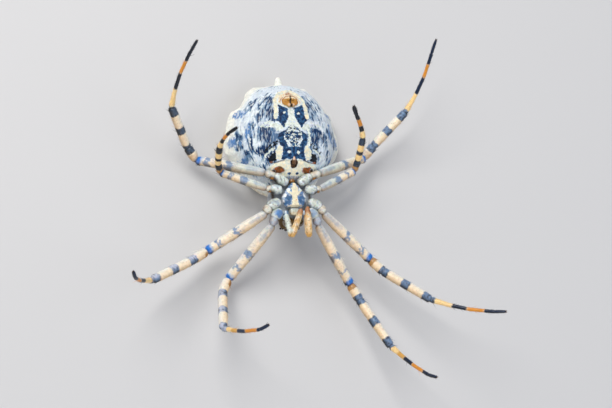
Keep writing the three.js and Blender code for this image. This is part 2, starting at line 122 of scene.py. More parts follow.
class Grain:
    """Soft repeatable noise over places, from a small table of random numbers."""

    def __init__(self, seed: int, size: int = 24) -> None:
        """Fills the table from a fixed seed."""
        self.table = np.random.default_rng(seed).random((size, size, size)) * 2 - 1

    def __call__(self, points: np.ndarray, cell: float) -> np.ndarray:
        """Takes the noise at each place.

        Args:
            points: the places.
            cell: about how wide its lumps are, in the places' own units.

        Returns:
            Numbers between -1 and 1.
        """
        scaled = points / cell
        base = np.floor(scaled).astype(int)
        part = scaled - base
        part = part * part * (3 - 2 * part)
        size = len(self.table)
        total = np.zeros(len(points))
        for corner in itertools.product((0, 1), repeat=3):
            weight = np.prod(np.where(np.array(corner) == 1, part, 1 - part), axis=1)
            i, j, k = ((base + np.array(corner)) % size).T
            total += weight * self.table[i, j, k]
        return total


GRAIN = Grain(SEED)


def linear(red: int, green: int, blue: int) -> np.ndarray:
    """A colour of light from its screen values between 0 and 255."""
    share = np.array([red, green, blue], dtype=float) / 255
    return np.where(share <= 0.04045, share / 12.92, ((share + 0.055) / 1.055) ** 2.4)


class Tint(Enum):
    """The spider's pigments."""

    SILVER = (206, 218, 230)
    LILAC = (206, 210, 226)
    CREAM = (236, 226, 196)
    PEACH = (246, 228, 200)
    WHITE = (232, 240, 242)
    YELLOW = (246, 212, 148)
    SLATE = (88, 122, 156)
    HAZE = (118, 144, 178)
    NAVY = (20, 50, 90)
    DEEP_NAVY = (16, 38, 72)
    BLACK = (8, 8, 9)
    SOOT = (20, 30, 42)
    BLUE = (22, 116, 206)
    SKY = (116, 168, 222)
    LAKE = (74, 124, 184)
    STEEL = (50, 92, 134)
    AMBER = (168, 116, 44)
    GOLD = (214, 164, 82)
    ORANGE = (216, 142, 46)
    RUST = (150, 78, 34)
    BROWN = (96, 66, 36)
    DARK_BROWN = (34, 26, 20)
    PINK = (222, 186, 160)
    SAND = (228, 208, 172)
    GREEN_WHITE = (206, 214, 204)
    GREY = (176, 178, 180)
    RIM_WHITE = (238, 239, 230)
    MILK = (224, 232, 225)
    OLIVE = (124, 92, 34)

    @property
    def light(self) -> np.ndarray:
        """The pigment as a colour of light."""
        return linear(*self.value)


class Paint:
    """A coat of pigment over a skin's points, laid on a layer at a time."""

    def __init__(self, count: int, ground: Tint) -> None:
        """Starts with one colour all over."""
        self.colours = np.tile(ground.light, (count, 1))

    def lay(self, tint: Tint, cover: np.ndarray) -> "Paint":
        """Lays a layer of pigment on.

        Args:
            tint: the pigment.
            cover: how thickly it lies on each point, from 0 to 1.

        Returns:
            The same coat.
        """
        share = np.clip(cover, 0.0, 1.0)[:, None]
        self.colours = self.colours * (1 - share) + tint.light * share
        return self


def oval(u: np.ndarray, v: np.ndarray, centre: tuple[float, float], radii: tuple[float, float],
         turn: float = 0.0) -> np.ndarray:
    """How far inside an oval each place is, in about the places' own units.

    Args:
        u: places across.
        v: places along.
        centre: the oval's middle.
        radii: its two half sizes.
        turn: its turn in degrees.

    Returns:
        Depth inside the oval, less than 0 outside it.
    """
    angle = math.radians(turn)
    across, along = u - centre[0], v - centre[1]
    first = across * math.cos(angle) + along * math.sin(angle)
    second = along * math.cos(angle) - across * math.sin(angle)
    return (1 - np.hypot(first / radii[0], second / radii[1])) * min(radii)


def patch(u: np.ndarray, v: np.ndarray, corners: Sequence[tuple[float, float]]) -> np.ndarray:
    """How far inside a closed outline of straight sides each place is.

    Args:
        u: places across.
        v: places along.
        corners: the outline's corners in order.

    Returns:
        Depth inside the outline, less than 0 outside it.
    """
    nearest = np.full(len(u), np.inf)
    inside = np.zeros(len(u), dtype=bool)
    for (au, av), (bu, bv) in zip(corners, [*corners[1:], corners[0]]):
        side_u, side_v = bu - au, bv - av
        share = np.clip(((u - au) * side_u + (v - av) * side_v) / (side_u**2 + side_v**2), 0, 1)
        nearest = np.minimum(nearest, np.hypot(u - au - side_u * share, v - av - side_v * share))
        crosses = (av > v) != (bv > v)
        if av != bv:
            inside ^= crosses & (u < au + side_u * (v - av) / side_v)
    return np.where(inside, nearest, -nearest)


def stroke(u: np.ndarray, v: np.ndarray, path: Sequence[tuple[float, float, float]]) -> np.ndarray:
    """How far inside a brush stroke each place is.

    Args:
        u: places across.
        v: places along.
        path: points of the stroke with its half width at each.

    Returns:
        Depth inside the stroke, less than 0 outside it.
    """
    best = np.full(len(u), -np.inf)
    for (au, av, aw), (bu, bv, bw) in zip(path, path[1:]):
        side_u, side_v = bu - au, bv - av
        share = np.clip(((u - au) * side_u + (v - av) * side_v) / (side_u**2 + side_v**2), 0, 1)
        away = np.hypot(u - au - side_u * share, v - av - side_v * share)
        best = np.maximum(best, aw + (bw - aw) * share - away)
    return best


# ---- mesh helpers --------------------------------------------------------------------------


def new_object(name: str, mesh: bpy.types.Mesh) -> bpy.types.Object:
    """Puts a mesh, or other data, in the scene as an object at the origin.

    Args:
        name: the object's name.
        mesh: its data.

    Returns:
        The object.
    """
    thing = bpy.data.objects.new(name, mesh)
    bpy.context.scene.collection.objects.link(thing)
    return thing


def mesh_from(name: str, points: np.ndarray, faces: Sequence[Sequence[int]]) -> bpy.types.Mesh:
    """Makes a smooth-shaded mesh.

    Args:
        name: the mesh's name.
        points: its vertices.
        faces: the vertices round each face, by number.

    Returns:
        The mesh.
    """
    mesh = bpy.data.meshes.new(name)
    mesh.from_pydata(points.tolist(), [], faces)
    mesh.update()
    mesh.shade_smooth()
    return mesh


def vectors_of(items: bpy.types.bpy_prop_collection, name: str) -> np.ndarray:
    """Reads a vector from each item of a collection.

    Args:
        items: the collection.
        name: what the vector is called.

    Returns:
        A row for each item.
    """
    flat = np.empty(len(items) * 3, dtype=np.float32)
    items.foreach_get(name, flat)
    return flat.reshape(-1, 3).astype(float)


def points_of(mesh: bpy.types.Mesh) -> np.ndarray:
    """The places of a mesh's vertices."""
    return vectors_of(mesh.vertices, "co")


def normals_of(mesh: bpy.types.Mesh) -> np.ndarray:
    """The outward direction at each of a mesh's vertices."""
    return vectors_of(mesh.vertex_normals, "vector")


def move_points(mesh: bpy.types.Mesh, points: np.ndarray) -> None:
    """Gives a mesh's vertices new places."""
    mesh.vertices.foreach_set("co", points.astype(np.float32).ravel())
    mesh.update()


def put_number(mesh: bpy.types.Mesh, name: str, values: np.ndarray) -> None:
    """Stores one number for each vertex."""
    mesh.attributes.new(name, "FLOAT", "POINT").data.foreach_set("value", values.astype(np.float32))


def put_vector(mesh: bpy.types.Mesh, name: str, values: np.ndarray) -> None:
    """Stores one direction or place for each vertex."""
    data = mesh.attributes.new(name, "FLOAT_VECTOR", "POINT").data
    data.foreach_set("vector", values.astype(np.float32).ravel())


def put_paint(mesh: bpy.types.Mesh, paint: Paint, name: str = PIGMENT) -> None:
    """Stores a coat of paint on a mesh's vertices.

    Args:
        mesh: the mesh.
        paint: the coat of paint.
        name: what it is stored as.
    """
    data = mesh.attributes.new(name, "FLOAT_COLOR", "POINT").data
    full = np.ones((len(paint.colours), 4), dtype=np.float32)
    full[:, :3] = paint.colours
    data.foreach_set("color", full.ravel())


def put_round_unwrap(mesh: bpy.types.Mesh, centre: Vector) -> None:
    """Unwraps a mesh by the direction from a middle point: turn across, height along.

    Args:
        mesh: the mesh.
        centre: the middle point.
    """
    corners = np.empty(len(mesh.loops), dtype=np.int32)
    mesh.loops.foreach_get("vertex_index", corners)
    away = (points_of(mesh) - np.array(centre))[corners]
    turn = np.arctan2(away[:, 0], away[:, 1]) / (2 * math.pi) + 0.5
    rise = np.arctan2(away[:, 2], np.hypot(away[:, 0], away[:, 1])) / math.pi + 0.5
    starts = np.empty(len(mesh.polygons), dtype=np.int32)
    mesh.polygons.foreach_get("loop_start", starts)
    first = np.repeat(turn[starts], np.diff(np.append(starts, len(corners))))
    turn += np.round(first - turn)
    mesh.uv_layers.new(name=UNWRAP).data.foreach_set(
        "uv", np.stack([turn, rise], axis=1).astype(np.float32).ravel())


def ring_walls(count: int, sides: int) -> list[list[tuple[int, int, int]]]:
    """Walls of a closed shape made of rings of points, with one more point at each end.

    Args:
        count: how many rings there are.
        sides: how many points each ring has.

    Returns:
        The corners of each wall, each with its point's number, its turn and its ring.
    """
    walls = [[(i * sides + j, j, i), (i * sides + (j + 1) % sides, j + 1, i),
              ((i + 1) * sides + (j + 1) % sides, j + 1, i + 1), ((i + 1) * sides + j, j, i + 1)]
             for i in range(count - 1) for j in range(sides)]
    last = (count - 1) * sides
    for j in range(sides):
        k = (j + 1) % sides
        walls.append([(count * sides, j, 0), (k, j + 1, 0), (j, j, 0)])
        walls.append([(count * sides + 1, j, count - 1), (last + j, j, count - 1),
                      (last + k, j + 1, count - 1)])
    return walls


def wall_points(walls: list[list[tuple[int, int, int]]]) -> list[list[int]]:
    """The points round each wall, by number."""
    return [[corner[0] for corner in wall] for wall in walls]


def plain_copy(thing: bpy.types.Object, name: str) -> bpy.types.Mesh:
    """Keeps what an object's live modifiers make as a mesh of its own.

    Args:
        thing: the object.
        name: the new mesh's name.

    Returns:
        The new mesh.
    """
    bpy.context.view_layer.update()
    shown = thing.evaluated_get(bpy.context.evaluated_depsgraph_get())
    mesh = bpy.data.meshes.new_from_object(shown)
    mesh.name = name
    return mesh


def discard(thing: bpy.types.Object) -> None:
    """Takes a helper object and its mesh out of the file.

    Args:
        thing: the object.
    """
    mesh = thing.data
    bpy.data.objects.remove(thing)
    bpy.data.meshes.remove(mesh)


def skin_over(name: str, nodes: Sequence[str], grain_mm: float, rounds: int) -> bpy.types.Mesh:
    """Grows one smooth fine-grained skin over some CAD nodes.

    Args:
        name: the new mesh's name.
        nodes: the CAD nodes that it covers.
        grain_mm: the size of its faces.
        rounds: how many times it is smoothed.

    Returns:
        The skin's mesh, in place.
    """
    points, faces = [], []
    for node in nodes:
        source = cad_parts[node].data
        start = len(points)
        points.extend(points_of(source).tolist())
        faces.extend([[start + i for i in polygon.vertices] for polygon in source.polygons])
    raw = new_object(name + "_raw", mesh_from(name + "_raw", np.array(points), faces))
    weld = raw.modifiers.new("join", "WELD")
    weld.merge_threshold = 1e-6
    remesh = raw.modifiers.new("regrow", "REMESH")
    remesh.mode = "VOXEL"
    remesh.voxel_size = grain_mm * MM
    soften = raw.modifiers.new("soften", "SMOOTH")
    soften.factor = 0.5
    soften.iterations = rounds
    mesh = plain_copy(raw, name)
    discard(raw)
    mesh.shade_smooth()
    return mesh


# ---- node trees ----------------------------------------------------------------------------

Socket = bpy.types.NodeSocket


@dataclass
class Wiring:
    """Adds nodes to a tree and links them, so that a tree reads as a list of steps."""

    tree: bpy.types.NodeTree

    def fill(self, node: bpy.types.Node, inputs: dict) -> None:
        """Puts values or sockets into a node's inputs.

        Args:
            node: the node.
            inputs: what goes into each input, by its name or number.
        """
        for key, value in inputs.items():
            if isinstance(value, bpy.types.NodeSocket):
                self.tree.links.new(value, node.inputs[key])
            else:
                node.inputs[key].default_value = value

    def add(self, kind: str, inputs: dict | None = None, **settings: object) -> bpy.types.Node:
        """Adds a node.

        Args:
            kind: the node's type.
            inputs: what goes into its inputs, by name or number.
            **settings: the node's own settings.

        Returns:
            The node.
        """
        node = self.tree.nodes.new(kind)
        for key, value in settings.items():
            setattr(node, key, value)
        self.fill(node, inputs or {})
        return node

    def math(self, operation: str, first: object, second: object, third: object = 0.0) -> Socket:
        """One sum on two or three numbers or sockets."""
        return self.add("ShaderNodeMath", {0: first, 1: second, 2: third}, operation=operation).outputs[0]

    def scaled(self, vector: Socket, amount: object) -> Socket:
        """A vector or a colour times a number."""
        inputs = {0: vector, "Scale": amount}
        return self.add("ShaderNodeVectorMath", inputs, operation="SCALE").outputs["Vector"]

    def summed(self, first: Socket, second: Socket) -> Socket:
        """Two vectors added."""
        return self.add("ShaderNodeVectorMath", {0: first, 1: second}).outputs["Vector"]

    def ranged(self, value: Socket, low: object, high: object, top: float = 1.0) -> Socket:
        """A number spread from 0 at low to top at high."""
        inputs = {"Value": value, "From Min": low, "From Max": high, "To Max": top}
        return self.add("ShaderNodeMapRange", inputs).outputs["Result"]

    def noise(self, place: Socket, scale: object, detail: float, roughness: float = 0.5,
              distortion: float = 0.0) -> Socket:
        """Soft noise over places, around a half.

        Args:
            place: the places.
            scale: how many lumps there are to a unit.
            detail: how many finer layers of noise lie over the first.
            roughness: how strong they are.
            distortion: how far the lumps are pulled about.

        Returns:
            The noise's socket.
        """
        inputs = {"Vector": place, "Scale": scale, "Detail": detail, "Roughness": roughness,
                  "Distortion": distortion}
        return self.add("ShaderNodeTexNoise", inputs).outputs["Fac"]

    def place(self) -> Socket:
        """Places on the object, in a shader tree."""
        return self.add("ShaderNodeTexCoord").outputs["Object"]

    def stored(self, name: str, kind: str) -> Socket:
        """What the skin's vertices carry under a name, as Fac, Color or Vector, in a shader tree."""
        return self.add("ShaderNodeAttribute", attribute_name=name).outputs[kind]

    def named(self, name: str, kind: str) -> Socket:
        """What the mesh carries under a name, in a geometry tree."""
        node = self.add("GeometryNodeInputNamedAttribute", {"Name": name}, data_type=kind)
        return next(socket for socket in node.outputs if socket.enabled and socket.name == "Attribute")

    def store(self, mesh: Socket, name: str, value: Socket, kind: str, domain: str) -> Socket:
        """The mesh with a value stored under a name, in a geometry tree."""
        inputs = {"Geometry": mesh, "Name": name, "Value": value}
        return self.add("GeometryNodeStoreNamedAttribute", inputs, data_type=kind, domain=domain).outputs[0]

    def mix(self, share: Socket, first: object, second: object) -> Socket:
        """A colour mixed from two, in a shader tree."""
        return self.add("ShaderNodeMix", {0: share, 6: first, 7: second}, data_type="RGBA").outputs[2]

    def group(self, tree: bpy.types.NodeTree, inputs: dict) -> bpy.types.bpy_prop_collection:
        """What a shader group puts out for its inputs."""
        return self.add("ShaderNodeGroup", inputs, node_tree=tree).outputs


def new_tree(name: str, kind: str, inputs: dict[str, str], outputs: dict[str, str]) -> bpy.types.NodeTree:
    """Makes a node group with named inputs and outputs and nothing in it yet.

    Args:
        name: the group's name.
        kind: the type of tree.
        inputs: each input's name and kind.
        outputs: each output's name and kind.

    Returns:
        The group.
    """
    tree = bpy.data.node_groups.new(name, kind)
    for way, sockets in (("INPUT", inputs), ("OUTPUT", outputs)):
        for label, what in sockets.items():
            tree.interface.new_socket(label, in_out=way, socket_type="NodeSocket" + what)
    return tree


def opaque(tint: Tint) -> tuple[float, float, float, float]:
    """A pigment as a socket's colour."""
    return (*(float(part) for part in tint.light), 1.0)


# ---- finishes ------------------------------------------------------------------------------


def cuticle_grain() -> bpy.types.NodeTree:
    """Builds the fine pits and mottling that every skin shares.

    Returns:
        A shader group with a tone around 1 and a height between 0 and 1.
    """
    tree = new_tree("Cuticle grain", "ShaderNodeTree", {"Grains per mm": "Float", "Mottle": "Float"},
                    {"Tone": "Float", "Height": "Float"})
    wiring = Wiring(tree)
    enter = wiring.add("NodeGroupInput").outputs
    place = wiring.place()
    per_metre = wiring.math("MULTIPLY", enter["Grains per mm"], 1 / MM)
    pits = wiring.add("ShaderNodeTexVoronoi", {"Vector": place, "Scale": per_metre}).outputs["Distance"]
    cloud = wiring.noise(place, wiring.math("MULTIPLY", per_metre, 0.28), 4.0)
    tone = wiring.math("MULTIPLY_ADD", wiring.math("SUBTRACT", cloud, 0.5), enter["Mottle"], 1.0)
    height = wiring.math("MULTIPLY_ADD", cloud, 0.4, wiring.math("MULTIPLY", pits, 0.6))
    wiring.add("NodeGroupOutput", {"Tone": tone, "Height": height})
    return tree


def ragged_marking() -> bpy.types.NodeTree:
    """Builds the step that turns a depth inside a marking into its cover, with a ragged edge.

    Returns:
        A shader group with a cover between 0 and 1.
    """
    inputs = dict.fromkeys(("Depth mm", "Wander mm", "Edge mm", "Lumps per mm"), "Float")
    tree = new_tree("Ragged marking", "ShaderNodeTree", inputs, {"Cover": "Float"})
    wiring = Wiring(tree)
    enter = wiring.add("NodeGroupInput").outputs
    size = wiring.math("MULTIPLY", enter["Lumps per mm"], 1 / MM)
    lumps = wiring.math("SUBTRACT", wiring.noise(wiring.place(), size, 3.0, roughness=0.6), 0.5)
    swing = wiring.math("MULTIPLY", lumps, enter["Wander mm"])
    depth = wiring.math("MULTIPLY_ADD", swing, 4.0, enter["Depth mm"])
    cover = wiring.ranged(depth, wiring.math("MULTIPLY", enter["Edge mm"], -1.0), enter["Edge mm"])
    wiring.add("NodeGroupOutput", {"Cover": cover})
    return tree


CUTICLE_GRAIN = cuticle_grain()
RAGGED_MARKING = ragged_marking()


@dataclass(frozen=True)
class Finish:
    """A painted skin: pigment from its vertices under a fine mottled grain."""

    name: str
    slot: str
    roughness: float = 0.42
    grains: float = 8.0
    mottle: float = 0.7
    pit_mm: float = 0.012
    gloss: float = 0.0
    gloss_roughness: float = 0.12
    glow: float = 0.0
    glow_mm: float = 0.4  # how deep light soaks in
    shine: float = 0.35

    def material(self) -> bpy.types.Material:
        """Makes the finish's material, or finds it if it is made already.

        Returns:
            The material.
        """
        made = bpy.data.materials.get(self.name)
        if made:
            return made
        made = bpy.data.materials.new(self.name)
        made.use_nodes = True
        wiring = Wiring(made.node_tree)
        grain = wiring.group(CUTICLE_GRAIN, {"Grains per mm": self.grains, "Mottle": self.mottle})
        looks = {"Base Color": self.colour(wiring, grain["Tone"]),
                 "Roughness": wiring.math("MULTIPLY", grain["Tone"], self.roughness),
                 "Specular IOR Level": self.shine,
                 "Coat Weight": self.gloss, "Coat Roughness": self.gloss_roughness,
                 "Subsurface Weight": self.glow, "Subsurface Scale": self.glow_mm * MM}
        if self.pit_mm:
            pits = {"Height": grain["Height"], "Strength": 1.0, "Distance": self.pit_mm * MM}
            looks["Normal"] = wiring.add("ShaderNodeBump", pits).outputs["Normal"]
        wiring.fill(made.node_tree.nodes["Principled BSDF"], looks)
        return made

    def colour(self, wiring: Wiring, tone: Socket) -> Socket:
        """The painted pigment, toned by the grain."""
        return wiring.scaled(wiring.stored(PIGMENT, "Color"), tone)


@dataclass(frozen=True)
class Marking:
    """One pigment of the abdomen: its two tones, and how ragged and soft its edges are."""

    word: str
    dark: Tint
    light: Tint
    wander_mm: float = 0.09
    edge_mm: float = 0.03
    lumps: float = 2.6


MARKINGS = (
    Marking("Navy", Tint.DEEP_NAVY, Tint.STEEL, wander_mm=0.16),
    Marking("Black", Tint.BLACK, Tint.SOOT, wander_mm=0.2),
    Marking("White", Tint.GREEN_WHITE, Tint.MILK, wander_mm=0.24),
    Marking("Cream", Tint.CREAM, Tint.GREEN_WHITE, wander_mm=0.12),
    Marking("Rust", Tint.BROWN, Tint.RUST, wander_mm=0.06, edge_mm=0.08),
    Marking("Brown", Tint.DARK_BROWN, Tint.BROWN, wander_mm=0.05, edge_mm=0.05),
)
MARKING_OF = {Tint.NAVY: "Navy", Tint.DEEP_NAVY: "Navy", Tint.BLACK: "Black", Tint.WHITE: "White",
              Tint.CREAM: "Cream", Tint.RUST: "Rust", Tint.BROWN: "Brown", Tint.DARK_BROWN: "Brown"}


@dataclass(frozen=True)
class StreakedFinish(Finish):
    """The abdomen's skin: slate streaks round its flanks, under markings with ragged edges."""

    streaks_across: float = 14.0
    streaks_along: float = 3.6
    patches_per_mm: float = 0.8
    clouds_per_mm: float = 2.4  # light and dark clouds inside each marking

    def colour(self, wiring: Wiring, tone: Socket) -> Socket:
        """Wires the ground, then the streaks, then each marking on top.

        Args:
            wiring: the material's tree.
            tone: the grain's tone.

        Returns:
            The colour's socket.
        """
        place = wiring.place()
        colour = self.streaked(wiring, place)
        light = wiring.ranged(wiring.noise(place, self.clouds_per_mm / MM, 3.0), 0.42, 0.62)
        for marking in MARKINGS:
            cover = wiring.group(RAGGED_MARKING, {
                "Depth mm": wiring.stored(marking.word + " depth", "Fac"), "Wander mm": marking.wander_mm,
                "Edge mm": marking.edge_mm, "Lumps per mm": marking.lumps})["Cover"]
            inner = wiring.mix(light, opaque(marking.dark), opaque(marking.light))
            colour = wiring.mix(cover, colour, inner)
        return wiring.scaled(colour, tone)

    def streaked(self, wiring: Wiring, place: Socket) -> Socket:
        """Wires slate and navy streaks over the ground, with fine white threads between them.

        Args:
            wiring: the material's tree.
            place: places on the skin.

        Returns:
            The colour's socket.
        """
        stretch = {0: wiring.stored("Flow", "Vector"), 1: (self.streaks_across, self.streaks_along, 1.0)}
        run = wiring.add("ShaderNodeVectorMath", stretch, operation="MULTIPLY").outputs["Vector"]
        lines = wiring.noise(run, 1.0, 2.0, distortion=0.35)
        cloud = wiring.math("SUBTRACT", wiring.noise(place, self.patches_per_mm / MM, 2.0), 0.5)
        more = wiring.math("SUBTRACT", wiring.stored("Streak", "Fac"), 1.0)
        above = wiring.math("ADD", wiring.math("MULTIPLY_ADD", cloud, 0.55, lines), more)
        ground = wiring.stored("Ground", "Color")
        slate = wiring.mix(wiring.ranged(above, -0.06, 0.05), ground, opaque(Tint.SLATE))
        navy = wiring.mix(wiring.ranged(above, 0.05, 0.13), slate, opaque(Tint.NAVY))
        thread = wiring.noise(wiring.scaled(run, 1.7), 1.0, 2.0, distortion=0.5)
        thin = wiring.ranged(thread, 0.53, 0.6, top=0.85)
        here = wiring.math("MULTIPLY", thin, wiring.stored("Thread", "Fac"))
        return wiring.mix(here, navy, opaque(Tint.WHITE))


@dataclass(frozen=True)
class PlainFinish(Finish):
    """Two close tints clouded together, for pieces that carry no markings."""

    deep: Tint = Tint.BLACK
    tint: Tint = Tint.DARK_BROWN

    def colour(self, wiring: Wiring, tone: Socket) -> Socket:
        """The two tints, mixed by the grain."""
        return wiring.mix(wiring.ranged(tone, 0.85, 1.15), opaque(self.deep), opaque(self.tint))


BELLY_SKIN = StreakedFinish("belly skin", "abdomen_skin", roughness=0.45, glow=0.05, shine=0.18)
SHELL = Finish("pale shell", "coxa_shell", roughness=0.3, grains=6.0, gloss=0.25, glow=0.15)
CARAPACE_SHELL = Finish("carapace shell", "carapace_shell", roughness=0.5)
STERNUM_SHELL = Finish("sternum shell", "sternum_plate", roughness=0.3, gloss=0.3, glow=0.1)
MOUTH_SHELL = Finish("mouth shell", "mouth_plates", roughness=0.28, gloss=0.3)
JAW_SHELL = Finish("jaw shell", "jaw_shell", roughness=0.22, gloss=0.5)
PALP_SKIN = Finish("palp skin", "palp_skin", roughness=0.42, glow=0.15)
LEG_SKIN = Finish("leg skin", "leg_shell", roughness=0.34, mottle=0.5, gloss=0.15, glow=0.12)
SPINNERET_SKIN = Finish("spinneret skin", "spinneret_skin", roughness=0.5, grains=12.0)
SCAPE_SHELL = Finish("scape shell", "epigyne_shell", roughness=0.3, gloss=0.3, glow=0.1)
CLAW = PlainFinish("claw", "foot_shell", roughness=0.3, deep=Tint.DARK_BROWN, tint=Tint.BROWN, gloss=0.3)
EYE = PlainFinish("eye", "eye_lens", roughness=0.06, pit_mm=0.0, gloss=1.0)
HAIR = Finish("hair", "leg_shell", roughness=0.45, grains=4.0, mottle=0.3, pit_mm=0.0)


# ---- hair ----------------------------------------------------------------------------------


class Bristles:
    """The geometry tree that grows bristles from a skin, built once and given its sizes by name."""

    SIZES = {"Density": "Float", "Length": "Float", "Thickness": "Float", "Stand": "Float",
             "Curve": "Float", "Seed": "Int", "Material": "Material"}
    STRAY = 0.22  # how far a hair strays from the common lie
    SHORTEST, LONGEST = 0.6, 1.25  # shares of the length

    def __init__(self) -> None:
        """Builds the tree."""
        self.tree = new_tree("Bristles", "GeometryNodeTree", {"Skin": "Geometry", **self.SIZES},
                             {"Bristles": "Geometry"})
        wiring = Wiring(self.tree)
        enter = wiring.add("NodeGroupInput").outputs
        hairs = self.planted(wiring, enter, self.roots(wiring, enter), self.one_hair(wiring, enter))
        solid = wiring.add("GeometryNodeRealizeInstances", {"Geometry": hairs}).outputs[0]
        dressed = wiring.add("GeometryNodeSetMaterial", {"Geometry": self.mapped(wiring, solid),
                                                         "Material": enter["Material"]})
        wiring.add("NodeGroupOutput", {"Bristles": dressed.outputs[0]})

    @staticmethod
    def roots(wiring: Wiring, enter: bpy.types.bpy_prop_collection) -> bpy.types.Node:
        """Scatters the hairs' roots over the skin, thicker where its coat is.

        Args:
            wiring: the tree.
            enter: the tree's inputs.

        Returns:
            The node that scatters them.
        """
        amount = wiring.math("MULTIPLY", enter["Density"], wiring.named(COAT, "FLOAT"))
        inputs = {"Mesh": enter["Skin"], "Density": amount, "Seed": enter["Seed"]}
        return wiring.add("GeometryNodeDistributePointsOnFaces", inputs)

    @staticmethod
    def one_hair(wiring: Wiring, enter: bpy.types.bpy_prop_collection) -> Socket:
        """Makes a thin closed cone along Z that bends over along X, with its own small map.

        Args:
            wiring: the tree.
            enter: the tree's inputs.

        Returns:
            The hair's socket.
        """
        cone = wiring.add("GeometryNodeMeshCone", {
            "Vertices": 4, "Side Segments": 3, "Radius Top": 0.0,
            "Radius Bottom": enter["Thickness"], "Depth": enter["Length"]}).outputs["Mesh"]
        place = wiring.add("GeometryNodeInputPosition").outputs[0]
        split = wiring.add("ShaderNodeSeparateXYZ", {0: place}).outputs
        rise = wiring.math("DIVIDE", split["Z"], enter["Length"])
        bend = wiring.math("MULTIPLY", wiring.math("MULTIPLY", rise, rise), enter["Curve"])
        aside = wiring.math("MULTIPLY", bend, enter["Length"])
        shift = wiring.add("ShaderNodeCombineXYZ", {"X": aside}).outputs[0]
        bent = wiring.add("GeometryNodeSetPosition", {"Geometry": cone, "Offset": shift}).outputs[0]
        spread = wiring.math("DIVIDE", split["X"], enter["Thickness"])
        local = wiring.add("ShaderNodeCombineXYZ", {"X": spread, "Y": rise}).outputs[0]
        return wiring.store(bent, "On hair", local, "FLOAT_VECTOR", "POINT")

    @classmethod
    def planted(cls, wiring: Wiring, enter: bpy.types.bpy_prop_collection, roots: bpy.types.Node,
                hair: Socket) -> Socket:
        """Sets a hair on each root, leaning from the skin's outward way to its lie.

        Args:
            wiring: the tree.
            enter: the tree's inputs.
            roots: the node that scatters the roots.
            hair: one hair.

        Returns:
            The hairs' socket, as instances.
        """
        lie, seed = wiring.named(LIE, "FLOAT_VECTOR"), enter["Seed"]
        away = wiring.scaled(roots.outputs["Normal"], enter["Stand"])
        reach = {0: (-cls.STRAY,) * 3, 1: (cls.STRAY,) * 3, "Seed": seed}
        stray = wiring.add("FunctionNodeRandomValue", reach, data_type="FLOAT_VECTOR").outputs[0]
        way = wiring.summed(away, wiring.summed(lie, stray))
        stood = wiring.add("FunctionNodeAlignRotationToVector", {"Vector": way}, axis="Z").outputs[0]
        turn = wiring.add("FunctionNodeAlignRotationToVector", {"Rotation": stood, "Vector": lie},
                          axis="X", pivot_axis="Z").outputs[0]
        sizes = {2: cls.SHORTEST, 3: cls.LONGEST, "Seed": seed}
        size = wiring.add("FunctionNodeRandomValue", sizes, data_type="FLOAT").outputs[1]
        return wiring.add("GeometryNodeInstanceOnPoints", {
            "Points": roots.outputs["Points"], "Instance": hair, "Rotation": turn,
            "Scale": size}).outputs[0]

    @staticmethod
    def mapped(wiring: Wiring, hairs: Socket) -> Socket:
        """Gives each hair a small patch of the bake map at its root's place on the skin's unwrap.

        Args:
            wiring: the tree.
            hairs: the hairs as a solid mesh.

        Returns:
            The hairs' socket.
        """
        local = wiring.scaled(wiring.named("On hair", "FLOAT_VECTOR"), TUFT_PATCH / 2)
        spot = wiring.summed(wiring.named(UNWRAP, "FLOAT_VECTOR"), local)
        return wiring.store(hairs, BAKE_MAP, spot, "FLOAT2", "CORNER")

    def grow(self, name: str, skin: bpy.types.Mesh, coat: "Coat", seed: int) -> bpy.types.Object:
        """Grows one coat over a skin and leaves it as a plain piece.

        Args:
            name: the new piece's name.
            skin: the skin's mesh, with its Coat, Lie and Unwrap.
            coat: the hairs' sizes.
            seed: fixes where they grow.

        Returns:
            The coat as an object with a plain mesh.
        """
        bed = new_object(name + "_bed", skin.copy())
        modifier = bed.modifiers.new("bristles", "NODES")
        modifier.node_group = self.tree
        values = {"Density": coat.per_square_mm / MM**2, "Length": coat.length_mm * MM,
                  "Thickness": coat.thickness_mm * MM, "Stand": coat.stand, "Curve": coat.curve,
                  "Seed": seed, "Material": coat.finish.material()}
        for item in self.tree.interface.items_tree:
            if item.name in values and item.in_out == "INPUT":
                modifier[item.identifier] = values[item.name]
        bed.update_tag()
        mesh = plain_copy(bed, name)
        discard(bed)
        for spare in ("On hair", UNWRAP, LIE, COAT):
            if spare in mesh.attributes:
                mesh.attributes.remove(mesh.attributes[spare])
        mesh.shade_smooth()
        return new_object(name, mesh)


@dataclass(frozen=True)
class Coat:
    """Sizes of one growth of hair."""

    per_square_mm: float
    length_mm: float
    thickness_mm: float
    stand: float = 0.6
    curve: float = 0.25
    finish: Finish = HAIR


BRISTLES = Bristles()


def place_piece(piece: bpy.types.Object, finish: Finish, nodes: Sequence[str] = ()) -> bpy.types.Object:
    """Finishes a piece: gives it its material and its body, and hides the CAD nodes that it stands for.

    Args:
        piece: the piece, already in place.
        finish: what it is finished with.
        nodes: the CAD nodes that it replaces.

    Returns:
        The piece.
    """
    if not piece.data.materials:
        piece.data.materials.append(finish.material())
    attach(piece, "root")
    if nodes:
        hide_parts(*nodes)
    log.info("%s: %d faces", piece.name, len(piece.data.polygons))
    return piece


